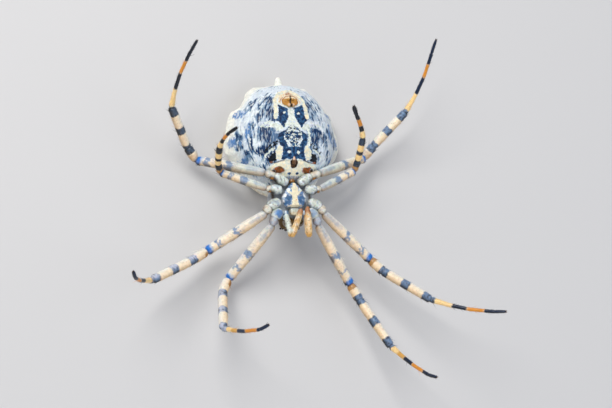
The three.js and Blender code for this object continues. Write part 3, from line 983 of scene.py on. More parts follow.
def dress(mesh: bpy.types.Mesh, node: str, coat: Coat, lie: Sequence[float] | np.ndarray,
          cover: np.ndarray | float = 1.0) -> None:
    """Grows hair over a round skin.

    Args:
        mesh: the skin's mesh.
        node: the CAD node that it stands for.
        coat: the hair's sizes.
        lie: the way that the hair lies, one for all of it or one for each place.
        cover: how thick it grows at each place, from 0 to 1.
    """
    low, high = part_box(node)
    put_round_unwrap(mesh, (low + high) / 2)
    put_vector(mesh, LIE, np.broadcast_to(lie, (len(mesh.vertices), 3)))
    put_number(mesh, COAT, np.ones(len(mesh.vertices)) * cover)
    place_piece(BRISTLES.grow(node + "_down", mesh, coat, SEED + len(node)), HAIR)


# ---- limbs ---------------------------------------------------------------------------------


def sections(points: np.ndarray, edges: np.ndarray, start: np.ndarray,
             step: float) -> tuple[np.ndarray, np.ndarray]:
    """Cuts a tube by growing balls about one end.

    Args:
        points: the tube's vertices.
        edges: pairs of vertices that its edges join.
        start: the middle of the balls.
        step: how much further each ball reaches.

    Returns:
        The middles and the radii of the cuts over the far half of the tube.
    """
    away = np.linalg.norm(points - start, axis=1)
    near, far = away[edges[:, 0]], away[edges[:, 1]]
    reach = away.max()
    middles, radii = [], []
    for radius in np.arange(reach / 2, reach - 1.5 * step, step):
        crossed = (near <= radius) != (far <= radius)
        share = ((radius - near[crossed]) / (far[crossed] - near[crossed]))[:, None]
        first, last = points[edges[crossed, 0]], points[edges[crossed, 1]]
        cut = first + (last - first) * share
        middle = (cut.min(axis=0) + cut.max(axis=0)) / 2
        middle = (middle + cut.mean(axis=0)) / 2
        middles.append(middle)
        radii.append(np.linalg.norm(cut - middle, axis=1).mean())
    return np.array(middles), np.array(radii)


def trace(node: str, start: np.ndarray, step: float) -> tuple[np.ndarray, np.ndarray]:
    """Follows the middle of a CAD limb from the end that is nearer to a place.

    Args:
        node: the CAD node.
        start: a place near the end to start from.
        step: how close together the cuts are.

    Returns:
        Middles and radii along the limb.
    """
    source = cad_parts[node].data
    points = points_of(source)
    edges = np.empty(len(source.edges) * 2, dtype=np.int32)
    source.edges.foreach_get("vertices", edges)
    edges = edges.reshape(-1, 2)
    first = points[np.argmin(np.linalg.norm(points - start, axis=1))]
    last = points[np.argmax(np.linalg.norm(points - first, axis=1))]
    back, back_radii = sections(points, edges, last, step)
    ahead, ahead_radii = sections(points, edges, first, step)
    past = (ahead - back[0]) @ (back[0] - back[4]) > 0
    return (np.concatenate([back[::-1], ahead[past]]),
            np.concatenate([back_radii[::-1], ahead_radii[past]]))


def eased(values: np.ndarray, spread: float) -> np.ndarray:
    """Softens a run of values, with its ends held.

    Args:
        values: one value, or one place, for each step.
        spread: how many steps it is softened over.

    Returns:
        The softened run.
    """
    half = int(math.ceil(spread * 3))
    weights = np.exp(-0.5 * (np.arange(-half, half + 1) / spread) ** 2)
    weights /= weights.sum()
    rows = values.reshape(len(values), -1)
    padded = np.concatenate([2 * rows[0] - rows[half:0:-1], rows, 2 * rows[-1] - rows[-2:-half - 2:-1]])
    soft = np.stack([np.convolve(column, weights, "valid") for column in padded.T], axis=1)
    return soft.reshape(values.shape)


@dataclass
class Limb:
    """A jointed limb's middle line, radii and joints, ready to be skinned."""

    centres: np.ndarray
    radii: np.ndarray
    places: np.ndarray  # mm along the limb
    joints: list[float]  # mm along the limb where each segment starts, and its end
    outward: int  # 1 on the right side, -1 on the left
    slide_mm: float = 0.0  # how much further out the markings beyond the knee sit
    sides: int = 30
    frames: tuple[np.ndarray, np.ndarray, np.ndarray] = field(init=False)

    @classmethod
    def from_nodes(cls, nodes: Sequence[str], start: Vector, shares: Sequence[float | None],
                   side: Side, slide_mm: float = 0.0, step_mm: float = 0.1) -> "Limb":
        """Traces a limb through its CAD nodes.

        Args:
            nodes: the nodes from the body outwards.
            start: a place near where the limb starts.
            shares: for each node, how far along it its own joint is, or None.
            side: the side that the limb is on.
            slide_mm: how much further out its markings beyond the knee sit.
            step_mm: how close together its rings are.

        Returns:
            The limb.
        """
        middles, radii, ends = [], [], []
        last = np.array(start)
        for node in nodes:
            line, sizes = trace(node, last, step_mm * MM)
            middles.append(line)
            radii.append(sizes)
            ends.append(len(line) + (ends[-1] if ends else 0))
            last = line[-1]
        line, sizes = eased(np.concatenate(middles), 3.0), np.concatenate(radii)
        run = np.concatenate([[0.0], np.cumsum(np.linalg.norm(np.diff(line, axis=0), axis=1))]) / MM
        borders = [0.0, *((run[end - 1] + run[end]) / 2 for end in ends[:-1]), run[-1]]
        joints = []
        for low, high, share in zip(borders, borders[1:], shares):
            joints += [low] if share is None else [low, low + share * (high - low)]
        places = np.arange(0, run[-1], step_mm)
        centres = np.stack([np.interp(places, run, column) for column in line.T], axis=1)
        limb = cls(eased(centres, 2.6), eased(np.interp(places, run, sizes), 1.2), places,
                   [*joints, run[-1]], side.value, slide_mm)
        limb.frames = limb.turned_frames()
        return limb

    def turned_frames(self) -> tuple[np.ndarray, np.ndarray, np.ndarray]:
        """Works out which way each ring faces.

        Returns:
            The way along, the belly way and the tail way at each ring.
        """
        along = eased(np.gradient(self.centres, axis=0), 2.0)
        along /= np.linalg.norm(along, axis=1)[:, None]
        belly = np.array([0.0, 0.0, 1.0]) - along * along[:, 2:]
        belly /= np.linalg.norm(belly, axis=1)[:, None]
        return along, belly, np.cross(belly, along) * self.outward

    @property
    def stage(self) -> np.ndarray:
        """How far along each ring is, counted in segments."""
        slid = self.places - self.slide_mm * smooth_step(0.0, 2.0, self.from_joint(3))
        return np.interp(slid, self.joints, np.arange(len(self.joints)))

    def from_joint(self, number: int) -> np.ndarray:
        """How far each ring is past a joint, in mm."""
        return self.places - self.joints[number]

    def skin(self, name: str, swell: np.ndarray) -> "LimbSkin":
        """Makes the limb's closed skin.

        Args:
            name: the mesh's name.
            swell: the radius at each ring and side, in metres.

        Returns:
            The skin with the numbers that it is painted by.
        """
        count, sides = len(self.places), self.sides
        _, belly, tail = self.frames
        angles = np.arange(sides) / sides * 2 * math.pi
        ways = belly[:, None] * np.cos(angles)[:, None] + tail[:, None] * np.sin(angles)[:, None]
        points = (self.centres[:, None] + ways * swell[..., None]).reshape(-1, 3)
        points = np.concatenate([points, self.centres[:1], self.centres[-1:]])
        walls = ring_walls(count, sides)
        if self.outward > 0:
            walls = [wall[::-1] for wall in walls]
        mesh = mesh_from(name, points, wall_points(walls))
        spots = np.array([corner[1:] for wall in walls for corner in wall]) / (sides, count - 1)
        mesh.uv_layers.new(name=UNWRAP).data.foreach_set("uv", spots.astype(np.float32).ravel())
        stage = np.append(np.repeat(self.stage, sides), (self.stage[0], self.stage[-1]))
        angle = np.append(np.tile(angles, count), (0.0, 0.0))
        along = np.concatenate([np.repeat(self.frames[0], sides, axis=0),
                                self.frames[0][:1], self.frames[0][-1:]])
        return LimbSkin(mesh, points, stage, angle, along)


@dataclass
class LimbSkin:
    """A limb's mesh, with its segment count, its angle round from the belly and its way along."""

    mesh: bpy.types.Mesh
    points: np.ndarray
    stage: np.ndarray
    angle: np.ndarray
    along: np.ndarray

    def band(self, low: float, high: float, soft: float = 0.012, ragged: float = 0.02) -> np.ndarray:
        """How far inside a band round the limb each point is, from 0 to 1.

        Args:
            low: where the band starts, in segments.
            high: where it ends.
            soft: how gently its edges fade, in segments.
            ragged: how far its edges wander.

        Returns:
            The band's cover.
        """
        place = self.stage + GRAIN(self.points / MM, 0.3) * ragged
        return smooth_step(low - soft, low + soft, place) * smooth_step(-high - soft, -high + soft, -place)

    def facing(self, degrees: float, spread: float) -> np.ndarray:
        """How much each point faces an angle round the limb, from 0 to 1."""
        turn = np.cos(self.angle - math.radians(degrees))
        return smooth_step(math.cos(math.radians(spread)), 1.0, turn)


@dataclass(frozen=True)
class Claws:
    """Two hooked claws and a small middle one at the tip of a foot."""

    # How far aside each claw stands, as a share of the foot's radius, its length and its drop in mm.
    hooks: tuple[tuple[float, float, float], ...] = ((0.5, 0.34, 0.2), (-0.5, 0.34, 0.2), (0.0, 0.2, 0.16))
    thickness: float = 0.34  # share of the foot's radius
    rings: int = 5
    sides: int = 6

    def build(self, name: str, limb: Limb) -> None:
        """Builds and dresses the claws.

        Args:
            name: the piece's name.
            limb: the leg that they end.
        """
        along, belly, tail = (way[-1] for way in limb.frames)
        foot = limb.radii[-1]
        share = (np.arange(self.rings) / self.rings)[:, None, None]
        angle = (np.arange(self.sides) / self.sides * 2 * math.pi)[:, None]
        round_it = (belly * np.cos(angle) + tail * np.sin(angle)) * foot * self.thickness
        walls = ring_walls(self.rings, self.sides)
        if limb.outward > 0:
            walls = [wall[::-1] for wall in walls]
        points, faces = [], []
        for aside, length, drop in self.hooks:
            faces += [[len(points) + point for point in wall] for wall in wall_points(walls)]
            root = limb.centres[-1] + (tail * aside - along * 0.3) * foot
            reach, hook = along * length * MM, belly * drop * MM
            middles = root + reach * np.sin(share * 1.4) + hook * share**2
            rings = middles + round_it * (1 - share) ** 0.8
            points += [*rings.reshape(-1, 3), root, root + reach + hook]
        mesh = mesh_from(name, np.array(points), faces)
        place_piece(new_object(mesh.name, mesh), CLAW)


@dataclass(frozen=True)
class LegPattern:
    """Where one pair of legs has its joints and its bands, counted in segments along the leg."""

    joints: tuple[float, float, float]  # shares of the coxa, tibia and foot nodes where a joint lies
    rings: tuple[tuple[float, float], ...]  # dark rings
    blotches: tuple[tuple[float, float], ...]  # faint slate blotches on the femur
    amber: tuple[float, float]  # the warm part of the patella
    warm: tuple[tuple[float, float, Tint], ...]  # warm parts of the metatarsus
    pale: Tint = Tint.PEACH
    amber_cover: float = 0.85
    sheen: float = 0.95  # how strongly the right legs' rings carry slate, partly their own colour and partly painted sheen, and their feet a painted navy sheen
    # the same for the left legs
    left_sheen: float = 1.0
    sheen_side: float = 35.0  # which way the rings' painted sheen faces, in degrees round from the belly


SLIDES_MM = {(Side.LEFT, 1): 0.9, (Side.LEFT, 2): 0.4}  # how much further out two legs' markings sit
PATTERNS = (
    LegPattern(
        joints=(0.61, 0.2415, 0.831),
        rings=((3.72, 4.1), (4.4, 4.55), (4.83, 5.07), (5.37, 5.57), (5.86, 7.1)),
        blotches=((2.47, 2.56), (2.75, 2.79)), amber=(2.99, 3.32),
        warm=((5.07, 5.2, Tint.YELLOW), (5.2, 5.37, Tint.GOLD), (5.57, 5.86, Tint.ORANGE))),
    LegPattern(
        joints=(0.67, 0.24, 0.855),
        rings=((3.8, 4.11), (4.39, 4.54), (4.83, 5.07), (5.34, 5.56), (5.84, 7.1)),
        blotches=((2.45, 2.51), (2.76, 2.82)), amber=(3.0, 3.3),
        warm=((5.07, 5.34, Tint.YELLOW), (5.56, 5.84, Tint.ORANGE))),
    LegPattern(
        joints=(0.757, 0.33, 0.696),
        rings=((3.5, 4.02), (4.28, 4.44), (4.7, 5.05), (5.31, 5.54), (5.83, 7.1)),
        blotches=((2.4, 2.54), (2.73, 2.79)), amber=(3.05, 3.5),
        warm=((3.4, 5.31, Tint.YELLOW), (5.54, 5.83, Tint.ORANGE)), pale=Tint.GREEN_WHITE, sheen=0.2,
        left_sheen=0.1),
    LegPattern(
        joints=(0.615, 0.261, 0.817),
        rings=((3.6, 4.08), (4.36, 4.52), (4.8, 5.03), (5.33, 5.6), (5.82, 7.1)),
        blotches=((2.47, 2.56), (2.78, 2.87)), amber=(3.02, 3.5),
        warm=((5.03, 5.33, Tint.YELLOW), (5.6, 5.82, Tint.ORANGE)), pale=Tint.GREEN_WHITE,
        amber_cover=0.3, left_sheen=0.35),
)


@dataclass
class Leg:
    """One walking leg: a skin over all of its segments, its hair, its spines and its claws."""

    side: Side
    number: int
    joint_dip: float = 0.16  # share of the radius that each joint draws in
    joint_width: float = 0.13  # mm
    rim_swell: float = 0.05
    root_round: float = 0.5  # mm over which the coxa's inner end is rounded
    down: Coat = Coat(18.0, 0.42, 0.009, stand=0.6, curve=0.25)
    spines: Coat = Coat(0.55, 0.95, 0.024, stand=0.9, curve=0.12)
    claws: Claws = Claws()
    spine_seed: int = 40  # keeps the spines' places apart from the down's

    @property
    def pattern(self) -> LegPattern:
        """Where this pair of legs carries its bands."""
        return PATTERNS[self.number - 1]

    @property
    def name(self) -> str:
        """The leg's name, as its nodes start."""
        return f"leg_{self.side.word}_{self.number}"

    @property
    def nodes(self) -> list[str]:
        """The CAD nodes that the leg's skin stands for."""
        return [f"{self.name}_{part}" for part in ("coxa", "femur", "tibia", "foot")]

    @property
    def foot_slim(self) -> float:
        """Share of the radius that the foot is slimmer by than its solid; one foot is fuller."""
        return -0.1 if (self.side, self.number) == (Side.RIGHT, 3) else 0.12

    def build(self) -> None:
        """Builds and dresses the leg."""
        coxa, tibia, foot = self.pattern.joints
        slide = SLIDES_MM.get((self.side, self.number), 0.0)
        limb = Limb.from_nodes(self.nodes, BODY.at(0, -10.0, 6.5), (coxa, None, tibia, foot), self.side,
                               slide)
        skin = limb.skin(self.name + "_skin", self.swell(limb))
        put_paint(skin.mesh, self.paint(skin))
        put_vector(skin.mesh, LIE, skin.along)
        put_number(skin.mesh, COAT, 0.35 + 0.65 * smooth_step(2.0, 2.2, skin.stage))
        place_piece(new_object(skin.mesh.name, skin.mesh), LEG_SKIN, self.nodes)
        seed = SEED + self.number * 2 + self.side.value
        place_piece(BRISTLES.grow(self.name + "_down", skin.mesh, self.down, seed), HAIR)
        bed = skin.mesh.copy()
        bed.attributes.remove(bed.attributes[COAT])
        put_number(bed, COAT, self.spine_bed(skin))
        place_piece(BRISTLES.grow(self.name + "_spines", bed, self.spines, seed + self.spine_seed), HAIR)
        bpy.data.meshes.remove(bed)
        self.claws.build(self.name + "_claws", limb)

    def swell(self, limb: Limb) -> np.ndarray:
        """Works out how thick the leg is: drawn in at its joints, with a lip before each.

        Args:
            limb: the leg's middle line.

        Returns:
            The radius at each ring and side, in metres.
        """
        factor = 1 + 0.2 * np.exp(-((limb.places / limb.joints[1] - 0.6) / 0.3) ** 2)
        for number in range(1, len(limb.joints) - 1):
            past = limb.from_joint(number)
            factor -= self.joint_dip * np.exp(-(past / self.joint_width) ** 2)
            factor += self.rim_swell * np.exp(-((past + 0.4) / 0.25) ** 2)
        left = (limb.places[-1] - limb.places) * MM
        tip = np.sqrt(np.clip(1 - (1 - left / limb.radii[-1]).clip(0) ** 2, 0.02, 1))
        tip *= np.sqrt(np.clip(1 - (1 - limb.places / self.root_round).clip(0) ** 2, 0.02, 1))
        factor -= self.foot_slim * smooth_step(0.0, 2.0, limb.from_joint(5))
        return np.repeat((limb.radii * factor * tip)[:, None], limb.sides, axis=1)

    def paint(self, skin: LimbSkin) -> Paint:
        """Paints the leg, from its pale ground to its fine specks.

        Args:
            skin: the leg's skin.

        Returns:
            The paint.
        """
        own = BODY.own(skin.points)
        paint = Paint(len(skin.points), Tint.GREY)
        paint.lay(self.pattern.pale, skin.band(2.12, 7.0, soft=0.18, ragged=0.1))
        paint.lay(Tint.PEACH, skin.band(2.5, 5.0, soft=0.25))
        self.paint_root(paint, skin, own)
        self.paint_shaft(paint, skin, own)
        self.paint_bands(paint, skin, own)
        for joint in (1, 2, 3, 4, 5):
            paint.lay(Tint.DARK_BROWN, 0.75 * skin.band(joint - 0.004, joint + 0.008, ragged=0.0))
        self.paint_knee(paint, skin)
        speck = smooth_step(0.5, 0.72, GRAIN(own, 0.11)) * skin.band(1.0, 5.2)
        return paint.lay(Tint.BROWN, 0.3 * speck)

    def paint_shaft(self, paint: Paint, skin: LimbSkin, own: np.ndarray) -> None:
        """Paints the long segments: a painted white highlight on the tail side, painted gold and brown shade
        on the side to the head, and slate blotches.

        Args:
            paint: the paint so far.
            skin: the leg's skin.
            own: its points in the spider's own mm.
        """
        cloud = smooth_step(0.0, 0.6, GRAIN(own, 0.5))
        paint.lay(Tint.HAZE, 0.3 * cloud * skin.band(1.9, 2.8, soft=0.1))
        grained = np.stack([skin.stage * 5, 1.7 * np.cos(skin.angle), 1.7 * np.sin(skin.angle)], axis=1)
        shaft = skin.band(2.0, 5.0, ragged=0.0)
        # Painted light: a white highlight along the tail side, then gold and brown shade along the side to
        # the head.
        paint.lay(Tint.WHITE, 0.55 * shaft * skin.facing(80, 80))
        paint.lay(Tint.GOLD, 0.4 * shaft * skin.facing(-80, 80))
        paint.lay(Tint.BROWN, 0.25 * shaft * skin.facing(-100, 60))
        paint.lay(Tint.HAZE, 0.4 * skin.band(2.0, 3.0) * smooth_step(0.25, 0.6, GRAIN(grained, 1.0)))
        for low, high in self.pattern.blotches:
            blotch = skin.band(low, high, soft=0.02, ragged=0.05)
            paint.lay(Tint.HAZE, 0.95 * blotch * (0.4 + 0.6 * skin.facing(20, 110)))
            paint.lay(Tint.SOOT, 0.7 * blotch * skin.facing(-95, 70))

    def paint_bands(self, paint: Paint, skin: LimbSkin, own: np.ndarray) -> None:
        """Paints the warm bands, then the dark rings: slate on one side of them, partly their own colour and
        partly painted sheen, a painted lilac sheen on two legs and a painted navy sheen on the feet.

        Args:
            paint: the paint so far.
            skin: the leg's skin.
            own: its points in the spider's own mm.
        """
        pattern = self.pattern
        for low, high, tint in pattern.warm:
            paint.lay(tint, skin.band(low, high, soft=0.03))
        lit = self.side is Side.LEFT and self.number < 3  # two legs turn another side to the light
        facing = 2 * skin.facing(-90, 100) if lit else 1.0
        paint.lay(Tint.AMBER, pattern.amber_cover * facing * skin.band(*pattern.amber, soft=0.03))
        amount = pattern.sheen if self.side is Side.RIGHT else pattern.left_sheen
        # Painted sheen: shine picks one side of each ring, where slate, lilac and navy are laid over the
        # black.
        shine = smooth_step(-1.1, 0.1, GRAIN(own, 0.25)) * skin.facing(pattern.sheen_side, 125)
        sheens = ((Tint.BLACK, 1.0), (Tint.HAZE, amount * shine * skin.band(3.0, 5.12, soft=0.06)),
                  (Tint.LILAC, 0.8 * lit * shine * skin.facing(50, 75) * skin.band(3.0, 5.12)),
                  (Tint.NAVY, 0.5 * amount * skin.facing(20, 100) * skin.band(5.12, 7.1, soft=0.06)))
        for low, high in pattern.rings:
            for tint, cover in sheens:
                paint.lay(tint, skin.band(low, high) * cover)

    def paint_root(self, paint: Paint, skin: LimbSkin, own: np.ndarray) -> None:
        """Paints the coxa and the trochanter: pale, with painted shade at their sides turned away from the
        belly, a painted highlight on the trochanter, and dark joints.

        Args:
            paint: the paint so far.
            skin: the leg's skin.
            own: its points in the spider's own mm.
        """
        coxa = skin.band(-0.5, 1.0, ragged=0.0)
        paint.lay(Tint.GREEN_WHITE, coxa)
        paint.lay(Tint.WHITE, 0.8 * coxa * smooth_step(-0.1, 0.5, GRAIN(own + 31, 0.5)))
        if self.number == 1:
            core = skin.band(0.2, 0.85, soft=0.1, ragged=0.08) * skin.facing(-10, 70)
            paint.lay(Tint.LAKE, core * (0.95 if self.side is Side.LEFT else 0.6))
        else:
            paint.lay(Tint.HAZE, 0.5 * coxa * smooth_step(0.1, 0.5, GRAIN(own, 0.35)))
            paint.lay(Tint.BROWN, 0.5 * coxa * smooth_step(0.25, 0.6, GRAIN(own + 3, 0.2)))
        # Painted shade: the coxa darkens at the sides turned away from the belly.
        paint.lay(Tint.DARK_BROWN, 0.8 * coxa * (1 - skin.facing(0, 124)))
        paint.lay(Tint.BROWN, 0.4 * skin.band(-0.5, 0.06, soft=0.06))
        trochanter = skin.band(1.0, 2.0, ragged=0.0)
        paint.lay(Tint.HAZE if self.number == 1 else Tint.CREAM, 0.6 * trochanter)
        paint.lay(Tint.HAZE, 0.5 * trochanter * smooth_step(0.1, 0.5, GRAIN(own + 17, 0.3)))
        # Painted highlight: white on the trochanter's belly side.
        paint.lay(Tint.WHITE, 0.3 * trochanter * skin.facing(10, 60))
        paint.lay(Tint.AMBER, 0.3 * trochanter * smooth_step(-0.2, 0.4, GRAIN(own + 13, 0.4)))
        # Painted shade: brown at the trochanter's sides turned away from the belly.
        paint.lay(Tint.BROWN, 0.7 * trochanter * (1 - skin.facing(0, 105)))
        for low, high in ((0.97, 1.05), (1.93, 2.002)):
            paint.lay(Tint.DARK_BROWN, skin.band(low, high, soft=0.04) * (0.8 - 0.5 * skin.facing(20, 80)))
        if self.number > 2:
            crook = skin.band(0.7, 1.45, soft=0.12) * skin.facing(-80, 75)
            paint.lay(Tint.DARK_BROWN, crook)
            paint.lay(Tint.ORANGE, 0.8 * skin.band(1.0, 1.3, soft=0.08) * skin.facing(-70, 40))

    @staticmethod
    def paint_knee(paint: Paint, skin: LimbSkin) -> None:
        """Paints the femur's end: a blue spot on the belly side with a painted sky-blue highlight just
        before it, black on the side to the head.

        Args:
            paint: the paint so far.
            skin: the leg's skin.
        """
        end = skin.band(2.915, 3.0, soft=0.01, ragged=0.01)
        paint.lay(Tint.BLACK, np.clip(2 * skin.facing(-105, 90), 0, 1) * skin.band(2.915, 3.06, soft=0.02))
        # Painted highlight: a thin sky-blue band just before the blue spot.
        paint.lay(Tint.SKY, 0.6 * skin.band(2.89, 2.93, soft=0.015) * skin.facing(20, 90))
        paint.lay(Tint.BLUE, end * skin.facing(18, 95))

    def spine_bed(self, skin: LimbSkin) -> np.ndarray:
        """Where the leg's long spines stand: from the femur's end outwards, few underneath."""
        return skin.band(2.5, 6.0, soft=0.1) * (0.4 + 0.6 * (1 - skin.facing(0, 60)))


# ---- abdomen -------------------------------------------------------------------------------


@dataclass(frozen=True)
class Mark:
    """One marking: a pigment inside a shape given for the right half of the body, in mm."""

    tint: Tint
    shape: Callable[..., np.ndarray]
    sizes: tuple
    soft: float = 0.05
    ragged: float = 0.1
    strength: float = 1.0
    most: float = 1.0  # a small depth leaves the marking an open network over what lies under it
    only: int = 0  # 1 or -1 for a marking on the right or the left half alone

    def depth(self, u: np.ndarray, v: np.ndarray) -> np.ndarray:
        """How far inside the marking each place is, in mm."""
        return np.minimum(self.shape(u, v, *self.sizes), self.most)

    def cover(self, u: np.ndarray, v: np.ndarray, wander: np.ndarray) -> np.ndarray:
        """How much of the marking lies on each place, from 0 to 1."""
        return self.strength * smooth_step(-self.soft, self.soft, self.depth(u, v) + wander * self.ragged)


# Soft washes of pigment under the markings, in the order that they are laid on.
BELLY_WASHES = (
    Mark(Tint.LILAC, oval, ((4.2, 1.3), (1.0, 0.5)), soft=0.5),
    Mark(Tint.SLATE, patch, (((2.6, 6.1), (3.6, 6.2), (4.9, 3.9), (5.0, 2.1), (3.6, 1.8), (2.6, 2.2)),),
         soft=0.4, ragged=0.9, strength=0.45),
    Mark(Tint.STEEL, patch, (((2.3, 0.9), (4.2, 0.9), (5.3, 0.2), (4.9, -1.2), (3.5, -2.2), (2.4, -1.6)),),
         soft=0.5, ragged=0.9, strength=0.95),
    Mark(Tint.SLATE, patch, (((2.6, -2.0), (4.6, -2.2), (4.9, -4.6), (3.8, -5.2), (2.8, -4.8)),),
         soft=0.3, ragged=0.4, strength=0.6),
    Mark(Tint.SAND, patch, (((-0.5, 4.2), (0.3, 4.2), (1.95, 5.1), (1.5, 6.4), (0.6, 7.0), (-0.5, 7.0)),),
         soft=0.1),
    Mark(Tint.RUST, stroke, (((1.6, 5.2, 0.05), (1.2, 5.9, 0.09), (0.5, 6.2, 0.08), (0, 6.25, 0.1)),),
         ragged=0.15, strength=0.8),
    Mark(Tint.RUST, oval, ((0, 6.6), (0.5, 0.4)), soft=0.2, ragged=0.2, strength=0.9),
    Mark(Tint.AMBER, patch, (((-0.5, 4.2), (0.3, 4.2), (1.45, 5.1), (1.0, 5.6), (-0.5, 5.7)),), soft=0.1),
    Mark(Tint.BROWN, patch, (((-1.0, -6.7), (3.0, -6.5), (3.6, -8.0), (-1.0, -8.0)),), soft=0.4,
         strength=0.6),
)
# The belly's markings, in the order that they are laid on.
BELLY_MARKS = (
    Mark(Tint.NAVY, patch, (((0.4, 3.95), (2.05, 4.75), (2.1, 2.7), (2.7, 2.15), (2.0, 1.6), (1.45, 0.75),
                             (1.15, 0.85), (0.9, 1.7), (0.5, 2.5)),)),
    Mark(Tint.NAVY, patch, (((1.1, 0.35), (2.0, 0.0), (2.45, -0.7), (2.3, -1.9), (1.7, -2.6), (0.9, -2.3),
                             (1.2, -1.6), (1.5, -1.0), (1.3, -0.4)),)),
    Mark(Tint.DEEP_NAVY, patch, (((0, -2.2), (0.8, -2.35), (1.7, -2.3), (1.75, -3.2), (2.05, -4.1),
                                  (1.9, -4.4), (1.0, -4.2), (0, -4.3), (-0.5, -4.3), (-0.5, -2.2)),)),
    Mark(Tint.BLACK, patch, (((2.75, -3.2), (3.5, -3.4), (4.0, -4.1), (3.7, -4.9), (2.9, -4.8),
                              (2.75, -4.1)),)),
    Mark(Tint.BLACK, stroke, (((2.6, -1.6, 0.2), (3.3, -2.1, 0.3), (4.4, -3.0, 0.16)),), most=0.03),
    Mark(Tint.WHITE, patch, (((2.5, 0.9), (2.6, 1.5), (3.5, 1.75), (4.5, 1.6), (4.9, 1.1), (4.0, 0.8)),),
         most=0.0),
    Mark(Tint.WHITE, patch, (((1.4, 0.55), (1.9, 1.2), (2.7, 1.5), (2.8, 0.9), (2.5, 0.3), (2.1, 0.2)),)),
    Mark(Tint.WHITE, stroke, (((2.6, 0.4, 0.2), (2.75, -0.8, 0.2), (2.5, -2.2, 0.14)),), most=0.1, only=1),
    Mark(Tint.CREAM, stroke, (((2.3, 5.6, 0.24), (2.42, 4.2, 0.3), (2.55, 2.5, 0.36)),)),
    Mark(Tint.WHITE, stroke, (((2.2, 5.05, 0.12), (0.12, 4.05, 0.13)),)),
    Mark(Tint.CREAM, stroke, (((2.25, 5.5, 0.22), (1.7, 6.55, 0.22), (0.6, 7.15, 0.26), (0, 7.25, 0.26)),)),
    Mark(Tint.WHITE, patch, (((-0.5, 3.75), (0.42, 3.6), (0.4, 2.6), (0.75, 1.9), (1.25, 1.0), (1.1, 0.7),
                              (0.6, 0.8), (-0.5, 0.95)),)),
    Mark(Tint.NAVY, oval, ((0, -0.6), (1.3, 1.75))),
    Mark(Tint.WHITE, oval, ((0, -0.6), (1.25, 1.7)), most=-0.04),
    Mark(Tint.WHITE, stroke, (((0, 0.9, 0.2), (0.3, 0.3, 0.08), (0.9, 0.1, 0.08)),)),
    Mark(Tint.WHITE, stroke, (((0.5, -1.4, 0.06), (1.1, -1.3, 0.1), (0.6, -2.0, 0.06)),)),
    Mark(Tint.CREAM, patch, (((1.85, -2.3), (2.3, -2.1), (2.9, -2.9), (2.85, -4.2), (2.2, -4.4),
                              (1.95, -3.9), (1.75, -3.0)),)),
    Mark(Tint.WHITE, stroke, (((3.0, -2.6, 0.08), (3.7, -2.9, 0.11), (4.4, -3.7, 0.1), (4.6, -4.6, 0.08)),)),
    Mark(Tint.CREAM, patch, (((-0.5, -4.35), (1.0, -4.3), (2.2, -4.65), (3.3, -5.1), (3.6, -5.6),
                              (3.2, -6.3), (2.0, -6.6), (-0.5, -6.8)),)),
    Mark(Tint.WHITE, stroke, (((2.6, -4.75, 0.08), (3.4, -5.0, 0.14), (3.8, -5.6, 0.18),
                               (3.3, -6.5, 0.14)),)),
    Mark(Tint.BROWN, stroke, (((1.5, -4.42, 0.04), (2.3, -4.62, 0.07), (3.1, -4.85, 0.06)),)),
    Mark(Tint.RUST, oval, ((3.45, -4.75), (0.3, 0.14))),
    Mark(Tint.WHITE, oval, ((1.15, 3.15), (0.17, 0.17))),
    Mark(Tint.WHITE, oval, ((0.72, -3.2), (0.22, 0.2))),
    Mark(Tint.BLACK, oval, ((0.25, 1.7), (0.09, 0.12))),
    Mark(Tint.BLACK, oval, ((0.3, 0.62), (0.24, 0.18), 20)),
    Mark(Tint.BLACK, oval, ((0.5, -1.05), (0.18, 0.16))),
    Mark(Tint.RUST, oval, ((2.3, -5.85), (0.92, 0.48))),
    Mark(Tint.BROWN, oval, ((2.95, -5.95), (0.25, 0.3))),
    Mark(Tint.NAVY, oval, ((0.62, -6.3), (0.27, 0.24))),
    Mark(Tint.BROWN, patch, (((-0.3, -4.2), (0.35, -4.2), (0.6, -4.6), (0.5, -5.4), (0.15, -5.55),
                              (-0.3, -5.55)),)),
)
# Where streaks run thicker, or thinner, than elsewhere, and by how much.
STREAKED = (
    (patch, (((2.75, 6.2), (3.3, 6.4), (4.2, 5.0), (4.5, 2.3), (3.7, 1.9), (2.7, 2.2), (2.7, 4.4)),), 0.14),
    (patch, (((2.8, 0.9), (5.2, 0.7), (5.5, -0.6), (4.6, -1.4), (3.2, -1.4)),), 0.17),
    (patch, (((2.7, -1.3), (4.4, -1.8), (5.2, -3.0), (4.8, -4.4), (3.0, -3.0)),), 0.1),
    (oval, ((4.0, 1.3), (0.9, 0.35)), -0.16),
    (oval, ((7.4, 3.0), (1.2, 1.8)), -0.22),
    (oval, ((8.3, -3.7), (1.1, 1.6)), -0.4),
    (oval, ((0, 5.7), (1.9, 1.5)), -0.7),
    (oval, ((5.0, -4.4), (1.0, 0.8)), -0.12),
    (oval, ((5.1, -7.0), (1.4, 0.9)), -0.35),
)
# Blue spots on the white rim: place and size.
RIM_SPOTS = (((7.3, 3.9), (0.9, 0.6)), ((8.2, -0.5), (1.0, 0.8)), ((6.6, 0.4), (0.5, 1.2)),
             ((6.9, -3.9), (0.5, 0.9)))
# Places where the rim draws in between its lobes: place, size and depth in mm.
NOTCHES = (((-7.7, 6.2), (1.0, 0.7), 0.6), ((-10.2, -4.4), (2.0, 2.2), 0.75))
# Lines that the belly's skin sinks in along, with how deep they are in mm.
FURROWS = (
    (((0.6, -4.5, 0.1), (2.0, -4.7, 0.12), (3.3, -5.0, 0.1)), -0.09),
    (((2.25, 5.3, 0.1), (1.6, 6.3, 0.12), (0.6, 6.9, 0.12), (-0.6, 6.9, 0.12)), -0.1),
    (((2.2, 5.0, 0.1), (0.1, 4.0, 0.1)), -0.08),
)
# Pits on the right half of the back.
BACK_PITS = ((1.6, 5.0), (2.2, 2.4), (2.5, -0.6), (2.1, -3.6))


